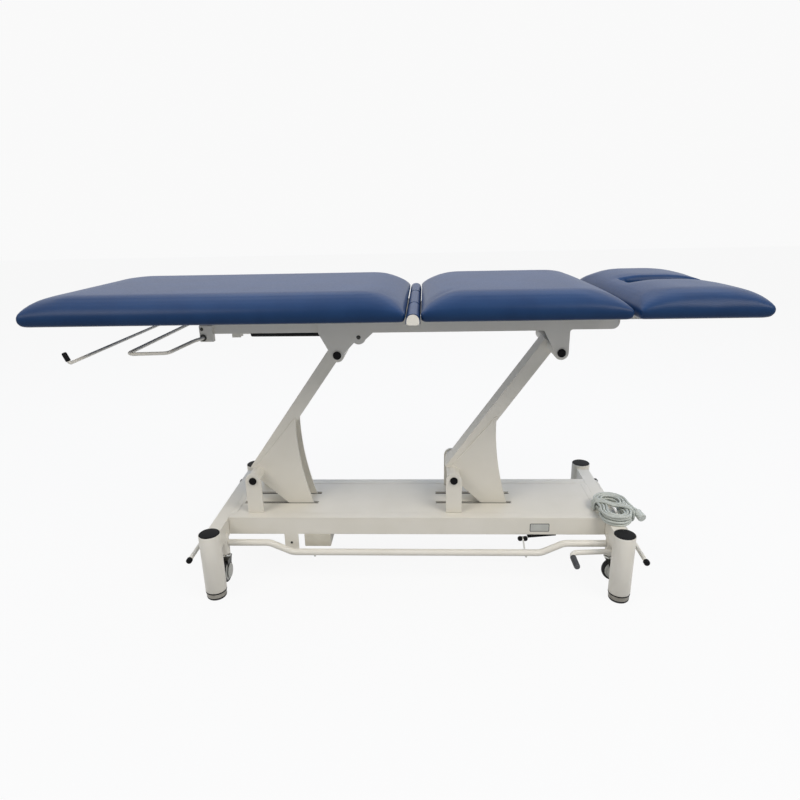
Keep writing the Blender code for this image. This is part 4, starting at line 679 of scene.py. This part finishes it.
def base_steel():
    for node in ("base_rail_near", "base_rail_far", "base_cover", "end_beam_left", "end_beam_right"):
        eased(node, POWDER, 0.0018 if "cover" not in node else 0.0006)
    for arm in ENDS:
        for side in SIDES:
            eased(f"pivot_bracket_{side}_{arm}", POWDER, 0.0012)
    # The control box takes the darker warm grey that paints its shade
    eased("control_box", SHADED_WARM_GREY, 0.003)


def foot_switch():
    """The switch under the near rail: a tapering black housing, two rollers and the link down to the foot bar."""
    shape = bmesh.new()
    rear, front = -0.1160, -0.1435
    ends = []
    for x, bottom, narrow in ((0.4230, 0.1378, 0.0), (0.5135, 0.1428, 0.006)):
        ends.append([shape.verts.new((x, y, z)) for y, z in (
            (front + narrow, bottom), (rear - narrow, bottom), (rear - narrow, 0.1483), (front + narrow, 0.1483))])
    for corner in range(4):
        shape.faces.new((ends[0][corner - 1], ends[0][corner], ends[1][corner], ends[1][corner - 1]))
    shape.faces.new(ends[0])
    shape.faces.new(ends[1])
    bmesh.ops.recalc_face_normals(shape, faces=shape.faces)
    bmesh.ops.bevel(shape, geom=shape.edges[:], offset=0.0016, segments=3, profile=0.5, affect="EDGES")
    mesh = meshed(shape, "foot_switch_housing")
    housing = place_piece("foot_switch_housing", smooth(mesh), BLACK, "base")
    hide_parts("foot_switch")
    for count, x in enumerate((0.3985, 0.4145)):
        turned(f"foot_switch_roller_{count}", SWITCH_ROLLER, (x, -0.1448, 0.1385), (0, -1, 0), BLACK, "base",
               28)
    arm = [(0.3985, -0.1412, 0.1385), (0.4225, -0.1412, 0.1410)]
    rod("foot_switch_arm", arm, 0.0030, ZINC, "base", 4)
    link = bent([(0.4065, -0.1480, 0.1430), (0.4065, -0.1555, 0.1400), (0.4100, -0.1690, 0.1142)], 0.004)
    rod("foot_switch_link", link, 0.0025, ZINC, "base", 4)


def block(name, low, high, material, body, ease=0.0004, only=None):
    """A box between two corners with its edges eased; only names the axis of the edges that are eased."""
    shape = bmesh.new()
    middle, size = (Vector(low) + Vector(high)) / 2, Vector(high) - Vector(low)
    bmesh.ops.create_cube(shape, size=1.0, matrix=Matrix.Translation(middle) @ Matrix.Diagonal((*size, 1.0)))
    edges = [edge for edge in shape.edges
             if only is None or abs((edge.verts[0].co - edge.verts[1].co)[only]) > size[only] / 2]
    bmesh.ops.bevel(shape, geom=edges, offset=ease, segments=3, profile=0.5, affect="EDGES")
    place_piece(name, smooth(meshed(shape, name)), material, body)


def cover_trim():
    """The rim folded round the top cover, black strips along the edges of the slots for the fins and a black duct
    inside the base under them: painted shade that draws the slots as dark lines.
    """
    top, foot, head, inner, outer = BASE_TOP + 0.0001, -0.5352, 0.6632, 0.1080, 0.1408
    rim, shade_strip_top, rim_width, strip, gap = top + 0.0009, top + 0.0007, 0.018, 0.002, 0.0004
    for side, sign in SIDES.items():
        ys = sorted((sign * inner, sign * outer))
        block(f"cover_rim_{side}", (foot, ys[0], top), (head, ys[1], rim), POWDER, "base")
    for arm, x in ARM_PIVOT_X.items():
        for side, sign in SIDES.items():
            begin, stop, middle = x - FIN_FOOT - strip, x + FIN_HEAD + strip, sign * FIN_Y
            # Painted shade: black strips along both edges of each slot draw it as a dark line
            for edge, reach in (("near", -0.0066), ("far", 0.0046)):
                block(f"slot_edging_{side}_{arm}_{edge}", (begin, middle + reach, top),
                      (stop, middle + reach + strip, shade_strip_top), RUBBER, "base", 0.0002)
    # Painted shade: a black block inside the base, where the sight lines through the slots end, keeps them dark
    block("black_shade_duct", (-0.500, 0.1020, 0.112), (0.440, 0.1113, 0.172), BLACK, "base", 0.001)
    for end, x in (("left", foot), ("right", head - rim_width)):
        block(f"cover_rim_{end}", (x, -inner + gap, top), (x + rim_width, inner - gap, rim), POWDER, "base")


def rating_plate():
    """A bare plate in a dark frame on the near rail, where the ratings go."""
    block("rating_plate_frame", (0.4285, -0.1422, 0.160), (0.4895, -0.1417, 0.188), DARK_GREY, "base",
          0.003, 1)
    block("bare_rating_plate", (0.4305, -0.1426, 0.162), (0.4875, -0.14221, 0.186), GREY, "base",
          0.002, 1)


columns()
base_steel()
foot_switch()
cover_trim()
rating_plate()


# Screws and caps

def button_screw(name, place, along, body, radius=0.0045):
    """A button-head screw with a round socket sunk in its head."""
    profile = [(0.0, 0.0), (radius, 0.0), (radius, 0.0006), (radius * 0.92, 0.0013), (radius * 0.7, 0.0021),
               (radius * 0.45, 0.0024), (radius * 0.43, 0.0024), (radius * 0.40, 0.0009), (0.0, 0.0009)]
    turned(name, profile, place, along, BLACK_ZINC, body, 24)


LOWER_PIVOT_Z, UPPER_PIVOT_X, UPPER_PIVOT_Z = 0.3201, {"left": -0.15346, "right": 0.49074}, 0.74123
LOWER_PIN_REACH, UPPER_PIN_REACH, PIN_RADIUS = 0.1063, 0.1503, 0.008
PIN_CAP = [(0.0, 0.0), (0.0118, 0.0), (0.0120, 0.0008), (0.0120, 0.0036), (0.0114, 0.0050), (0.0098, 0.0059),
           (0.0066, 0.0060), (0.0050, 0.0056), (0.0026, 0.0050), (0.0, 0.0049)]
BAIL_WASHER = [(0.0054, 0.0), (0.0098, 0.0), (0.0098, 0.0014), (0.0090, 0.0018), (0.0054, 0.0018), (0.0054, 0.0)]


def pivot_pins():
    """Pins with black moulded caps, each dimpled in its middle."""
    places = [(f"lower_pin_{arm}", ARM_PIVOT_X[arm], LOWER_PIVOT_Z, LOWER_PIN_REACH) for arm in ENDS]
    places += [(f"upper_pin_{arm}", UPPER_PIVOT_X[arm], UPPER_PIVOT_Z, UPPER_PIN_REACH) for arm in ENDS]
    for node, x, z, reach in places:
        bar = [(0.0, 0.0), (PIN_RADIUS, 0.0), (PIN_RADIUS, 2 * reach), (0.0, 2 * reach)]
        shaft = turned(node + "_shaft", bar, (x, -reach, z), (0, 1, 0), ZINC, body_of(node), 32)
        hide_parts(node)
        for side, sign in SIDES.items():
            turned(f"{node}_cap_{side}", PIN_CAP, (x, sign * reach, z), (0, sign, 0), BLACK, body_of(node),
                   40)


pivot_pins()
for side, sign in SIDES.items():
    button_screw(f"anchor_screw_{side}", (-0.089, sign * 0.150, 0.794), (0, sign, 0), "top_frame", 0.006)
    button_screw(f"bail_bracket_screw_{side}", (-0.545, sign * 0.144, 0.822), (0, sign, 0), "long_section", 0.005)
    turned(f"bail_washer_{side}", BAIL_WASHER, (-0.543, sign * 0.1441, 0.797), (0, sign, 0), BLACK_ZINC,
           "long_section", 32)
    button_screw(f"head_pivot_screw_{side}", (0.634, sign * 0.150, 0.850), (0, sign, 0), "top_frame", 0.0065)
button_screw("stop_plate_screw", (-0.336, -0.1416, 0.118), (0, -1, 0), "base", 0.004)


# Lift and top steel

for arm in ENDS:
    eased(f"lift_arm_{arm}", POWDER, 0.003, 4)
for node in ("side_plate_near", "side_plate_far"):
    eased(node, POWDER, 0.0012)
for node in ("mid_frame", "long_frame", "head_frame"):
    eased(node, POWDER, 0.002)


HINGE_X, HINGE_Z = 0.0715, 0.872
# Half of the strip's section about the hinge, and the stretches of it between the plates and the eyes
STRIP_SIDE = [(0.0187, -0.0085), (0.0187, -0.0020), (0.0182, 0.0040), (0.0165, 0.0090), (0.0130, 0.0135),
              (0.0085, 0.0163), (0.0042, 0.0175)]
STRIP_TOP = (0.0, 0.0178)
STRIP_STRETCHES = ((-0.3305, -0.1468), (0.1468, 0.3305), (-0.1212, 0.1212), (-0.1462, -0.1374), (0.1374, 0.1462))
EYE_COVER = [(0.0163, 0.0), (0.0172, 0.0), (0.0172, 0.0108), (0.0163, 0.0108), (0.0163, 0.0)]


def swept(name, profile, start, end, material, body):
    """A length of sheet or moulding with one (x, z) profile about the hinge, from y to y."""
    shape = bmesh.new()
    loops = [[shape.verts.new((HINGE_X + x, y, HINGE_Z + z)) for x, z in profile] for y in (start, end)]
    for step in range(len(profile)):
        shape.faces.new((loops[0][step], loops[0][step - 1], loops[1][step - 1], loops[1][step]))
    shape.faces.new(loops[0])
    shape.faces.new(loops[1])
    bmesh.ops.recalc_face_normals(shape, faces=shape.faces)
    place_piece(name, smooth(meshed(shape, name), 50.0), material, body)


def hinge_cover():
    """The vinyl strip laid like a tent over the hinge tube between the long and middle pads, with its end plates."""
    ridge = STRIP_SIDE + [STRIP_TOP] + [(-x, z) for x, z in reversed(STRIP_SIDE)]
    inside = [(x * 0.895, z - 0.0017 if z > 0.0 else z) for x, z in ridge]
    tent = ridge + inside[::-1]
    for count, (start, end) in enumerate(STRIP_STRETCHES):
        swept(f"hinge_cover_{count}", tent, start, end, VINYL, "top_frame")
    within = [(x * 0.885, z - 0.0020 if z > 0.0 else z) for x, z in ridge]
    end_plate = [(0.010, -0.0115)] + within + [(-0.010, -0.0115)]
    for side, sign in SIDES.items():
        swept(f"hinge_end_plate_{side}", end_plate, sign * 0.3301, sign * 0.3313, POWDER, "top_frame")
        start = -0.1334 if sign < 0 else 0.1226
        turned(f"hinge_eye_cover_{side}", EYE_COVER, (HINGE_X, start, HINGE_Z), (0, 1, 0), VINYL, "long_section",
               48)


hinge_cover()


# Wire work under the top

BAIL_RADIUS, PAPER_ROD_RADIUS = 0.005, 0.0045
PAPER_GRIP = [(0.0, 0.0), (0.0062, 0.0), (0.0066, 0.0010), (0.0066, 0.0215), (0.0056, 0.0240), (0.0030, 0.0250),
              (0.0, 0.0252)]
SPRING_TUBE = [(0.0, 0.011), (0.0085, 0.011), (0.0095, 0.016), (0.0122, 0.018), (0.0130, 0.020), (0.0130, 0.330),
               (0.0124, 0.334), (0.0060, 0.335), (0.0, 0.335)]
SPRING_EYE = [(0.0084, 0.0), (0.0118, 0.0), (0.0125, 0.0008), (0.0125, 0.0152), (0.0118, 0.016), (0.0084, 0.016),
              (0.0084, 0.0)]


def release_bail():
    """The wide release handle: a bent bar whose arms splay out from its brackets."""
    near_side = [(-0.543, -0.151, 0.797), (-0.568, -0.153, 0.790), (-0.611, -0.241, 0.775), (-0.7235, -0.250, 0.775)]
    far_side = [(x, -y, z) for x, y, z in reversed(near_side)]
    middle = bent(near_side + far_side, 0.022)
    path = [Vector((-0.543, -0.1387, 0.797)), *middle, Vector((-0.543, 0.1387, 0.797))]
    bail = rod("release_bail_wire", path, BAIL_RADIUS, POWDER, "release_bail")
    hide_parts("release_bail")


def paper_holder():
    """The rod that a paper roll hangs on, open at its near end under a black grip."""
    tip, near = Vector((-0.856, -0.318, 0.794)), Vector((-0.846, -0.318, 0.768))
    far, side, root = Vector((-0.846, 0.290, 0.768)), Vector((-0.535, 0.290, 0.835)), Vector((-0.535, 0.1443, 0.835))
    middle = near.lerp(far, 0.5)
    path = [*bent([tip, near, middle], 0.007), *bent([middle, far, side, root], 0.024)[1:]]
    holder = rod("paper_roll_rod", path, PAPER_ROD_RADIUS, POWDER, "long_section")
    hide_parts("paper_roll_holder")
    up = (tip - near).normalized()
    turned("paper_roll_grip", PAPER_GRIP, near + up * 0.0065, up, BLACK, "long_section", 28)


def gas_spring():
    """The gas spring's black cylinder with its eye on the anchor rod."""
    start, end = Vector((-0.089, -0.065, 0.794)), Vector((-0.4665, -0.065, 0.796))
    along = (end - start).normalized()
    tube = turned("gas_spring_tube", SPRING_TUBE, start, along, BLACK, "gas_spring_cylinder", 40)
    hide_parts("gas_spring_cylinder")
    turned("gas_spring_eye", SPRING_EYE, start - Vector((0, 0.008, 0)), (0, 1, 0), ZINC, "gas_spring_cylinder",
           32)


release_bail()
paper_holder()
gas_spring()
for node, material in (("gas_spring_rod", ZINC), ("head_hinge_rod", ZINC), ("hinge_tube", POWDER),
                       ("actuator_rod", ZINC), ("actuator_body", BLACK)):
    frame["nodes"][node].data.materials.clear()
    frame["nodes"][node].data.materials.append(material)


# Casters

CASTER_TURNS = {"near_left": 0.0, "near_right": 90.0, "far_left": 0.0, "far_right": 25.0}
CASTER_INSET, CASTER_Y, CASTER_TRAIL, HUB_Z, GUARD_OUT = 0.010, 0.170, 0.018, 0.0435, 0.0143
CASTER_STEM = [(0.0, 0.0868), (0.0132, 0.0868), (0.0140, 0.0876), (0.0140, 0.0922), (0.0128, 0.0933), (0.0082, 0.0933),
               (0.0080, 0.0940), (0.0080, 0.1450), (0.0072, 0.1459), (0.0, 0.1459)]
CASTER_TREAD = [(0.0300, -0.0090), (0.0320, -0.0098), (0.0345, -0.0090), (0.0362, -0.0072), (0.0372, -0.0042),
                (0.0375, 0.0), (0.0372, 0.0042), (0.0362, 0.0072), (0.0345, 0.0090), (0.0320, 0.0098),
                (0.0300, 0.0090), (0.0300, -0.0090)]
CASTER_HUB = [(0.0044, -0.0099), (0.0080, -0.0099), (0.0270, -0.0099), (0.0290, -0.0094), (0.0299, -0.0086),
              (0.0299, 0.0086), (0.0290, 0.0094), (0.0270, 0.0099), (0.0080, 0.0099), (0.0044, 0.0099),
              (0.0044, -0.0099)]
CASTER_GUARD = [(0.0, 0.0), (0.0225, 0.0), (0.0230, 0.0005), (0.0224, 0.0014), (0.0190, 0.0021), (0.0100, 0.0024),
                (0.0, 0.0025)]


def casters():
    """Casters that stand at the swivel the photograph shows: stem, fork, rubber tread, nylon hub and thread guards."""
    for place, degrees in CASTER_TURNS.items():
        side, end = place.split("_")
        x, y = COLUMN_X[end] - ENDS[end] * CASTER_INSET, SIDES[side] * CASTER_Y
        turn = math.radians(degrees)
        axle = Vector((math.cos(turn), math.sin(turn), 0.0))
        hub = Vector((x + CASTER_TRAIL * math.sin(turn), y - CASTER_TRAIL * math.cos(turn), HUB_Z))
        fork, wheel = f"caster_fork_{place}", f"caster_wheel_{place}"
        stem = turned(f"caster_stem_turned_{place}", CASTER_STEM, (x, y, 0.0), (0, 0, 1), ZINC,
                      f"caster_stem_{place}", 36)
        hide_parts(f"caster_stem_{place}")
        eased(fork, BLACK_ZINC, 0.0006, 2)
        tread = turned(f"caster_tread_{place}", CASTER_TREAD, hub, axle, RUBBER, wheel, 64)
        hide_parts(f"caster_wheel_{place}")
        turned(f"caster_hub_{place}", CASTER_HUB, hub, axle, GREY, wheel, 56)
        for face, sign in (("in", -1.0), ("out", 1.0)):
            turned(f"caster_guard_{place}_{face}", CASTER_GUARD, hub + axle * sign * GUARD_OUT, axle * sign, GREY, fork,
                   48)


casters()


# Pedals and foot bars

PEDAL_SHAFT_Z, PEDAL_BAR_Z, PEDAL_SHAFT_OUT, PEDAL_BAR_OUT = 0.128, 0.136, 0.030, 0.065
LEVER_X, LEVER_Z = 0.548, 0.120
LEVER_GRIP = [(0.0081, 0.0), (0.0086, 0.0), (0.0092, 0.0010), (0.0092, 0.0050), (0.0088, 0.0060), (0.0092, 0.0070),
              (0.0092, 0.0110), (0.0088, 0.0120), (0.0092, 0.0130), (0.0092, 0.0480), (0.0084, 0.0520),
              (0.0056, 0.0545), (0.0, 0.0550)]
FOOT_BAR_Y, FOOT_BAR_HIGH, FOOT_BAR_LOW = 0.170, 0.135, 0.101
STUD = [(0.0, 0.0), (0.0038, 0.0), (0.0038, 0.0050), (0.0030, 0.0062), (0.0, 0.0064)]


def pedals():
    """A pedal bar on two arms from its shaft at each end, and the hand lever at the right end."""
    for end, out in ENDS.items():
        node = f"caster_pedal_{end}"
        shaft_x, bar_x = COLUMN_X[end] + out * PEDAL_SHAFT_OUT, COLUMN_X[end] + out * PEDAL_BAR_OUT
        line = [(shaft_x, -0.205, PEDAL_SHAFT_Z), (shaft_x, 0.205, PEDAL_SHAFT_Z)]
        shaft = rod(node + "_shaft", line, 0.007, POWDER, node)
        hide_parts(node)
        line = [(bar_x, -0.2710, PEDAL_BAR_Z), (bar_x, 0.2710, PEDAL_BAR_Z)]
        rod(node + "_bar", line, 0.0065, POWDER, node)
        for side, sign in SIDES.items():
            line = [(shaft_x, sign * 0.110, PEDAL_SHAFT_Z), (bar_x, sign * 0.110, PEDAL_BAR_Z)]
            rod(f"{node}_arm_{side}", line, 0.0052, POWDER, node)
            turned(f"{node}_knob_{side}", dome(0.0089, 0.0128, 0.004), (bar_x, sign * 0.2705, PEDAL_BAR_Z),
                   (0, sign, 0), BLACK, node, 32)
        if end == "right":
            corners = [(shaft_x, -0.200, PEDAL_SHAFT_Z), (LEVER_X, -0.200, LEVER_Z), (LEVER_X, -0.270, LEVER_Z)]
            rod("caster_lever", bent(corners, 0.020), 0.0080, POWDER, node, 8)
            turned("caster_lever_grip", LEVER_GRIP, (LEVER_X, -0.2245, LEVER_Z), (0, -1, 0), DARK_GREY, node,
                   36)


def foot_bars():
    """The bent bar along each long side, with two studs under its low stretch."""
    stations = ((-0.5317, FOOT_BAR_HIGH), (-0.400, FOOT_BAR_HIGH), (-0.327, FOOT_BAR_LOW), (0.461, FOOT_BAR_LOW),
                (0.5315, FOOT_BAR_HIGH), (0.6597, FOOT_BAR_HIGH))
    for side, sign in SIDES.items():
        y, node = sign * FOOT_BAR_Y, f"foot_bar_{side}"
        path = bent([(x, y, z) for x, z in stations], 0.050, 12)
        bar = rod(f"foot_bar_tube_{side}", path, 0.0105, POWDER, node, 8)
        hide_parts(f"foot_bar_{side}")
        for end, x in (("left", -0.257), ("right", 0.416)):
            turned(f"foot_bar_stud_{side}_{end}", STUD, (x, y, 0.0912), (0, 0, -1), ZINC, node, 20)


pedals()
foot_bars()


# Floor, light and background

def background_rays(tree):
    """1 for the rays that see the white background: from the camera, through glass or off a gloss."""
    rays = add(tree, "ShaderNodeLightPath")
    seen = add(tree, "ShaderNodeMath", {0: rays.outputs["Is Camera Ray"], 1: rays.outputs["Is Transmission Ray"]},
               operation="MAXIMUM")
    seen = add(tree, "ShaderNodeMath", {0: seen.outputs["Value"], 1: rays.outputs["Is Glossy Ray"]},
               operation="MAXIMUM")
    return seen.outputs["Value"]


FLOOR_HALF, WHITE_SHARE = 15, 0.92


def plain_floor():
    mesh = bpy.data.meshes.new("studio_floor")
    corners = [(x * FLOOR_HALF, y * FLOOR_HALF, 0) for x, y in ((-1, -1), (1, -1), (1, 1), (-1, 1))]
    mesh.from_pydata(corners, [], [(0, 1, 2, 3)])
    floor = bpy.data.objects.new("studio_floor", mesh)
    scene.collection.objects.link(floor)
    material = bpy.data.materials.new("studio_paper")
    material.use_nodes = True
    tree = material.node_tree
    tree.nodes.clear()
    # The rest of the floor's colour is plain paper, which keeps the object's shadow
    share = add(tree, "ShaderNodeMath", {0: background_rays(tree), 1: WHITE_SHARE}, operation="MULTIPLY")
    paper = add(tree, "ShaderNodeBsdfDiffuse", {"Color": (0.55, 0.55, 0.55, 1.0)})
    white = add(tree, "ShaderNodeEmission", {"Color": (1.0, 1.0, 1.0, 1.0), "Strength": 1.0})
    mix = add(tree, "ShaderNodeMixShader", {0: share.outputs["Value"], 1: paper.outputs[0], 2: white.outputs[0]})
    add(tree, "ShaderNodeOutputMaterial", {"Surface": mix.outputs[0]})
    mesh.materials.append(material)


def studio_light():
    world = bpy.data.worlds.new("studio_world")
    scene.world = world
    world.use_nodes = True
    tree = world.node_tree
    tree.nodes.clear()
    soft = add(tree, "ShaderNodeBackground", {"Color": (0.96, 0.98, 1.0, 1.0), "Strength": 0.30})
    white = add(tree, "ShaderNodeBackground", {"Color": (0.95, 0.95, 0.95, 1.0), "Strength": 1.0})
    mix = add(tree, "ShaderNodeMixShader", {0: background_rays(tree), 1: soft.outputs[0], 2: white.outputs[0]})
    add(tree, "ShaderNodeOutputWorld", {"Surface": mix.outputs[0]})
    for name, place, aim, size, energy, colour in (
            ("overhead_softbox", (0.1, 0.6, 3.4), (0.0, 0.1, 0.6), 4.5, 94.0, "#C8DCFF"),
            ("left_softbox", (-2.3, -1.9, 3.2), (-0.2, 0.0, 0.4), 1.8, 55.0, "#FFF8EE"),
            ("right_softbox", (2.3, -1.9, 3.2), (0.2, 0.0, 0.4), 1.8, 80.0, "#FFF8EE")):
        lamp = bpy.data.objects.new(name, bpy.data.lights.new(name, "AREA"))
        lamp.data.color = linear(colour)[:3]
        lamp.data.size = size
        lamp.data.energy = energy
        lamp.location = place
        lamp.rotation_euler = (Vector(aim) - Vector(place)).to_track_quat("-Z", "Y").to_euler()
        scene.collection.objects.link(lamp)


plain_floor()
studio_light()
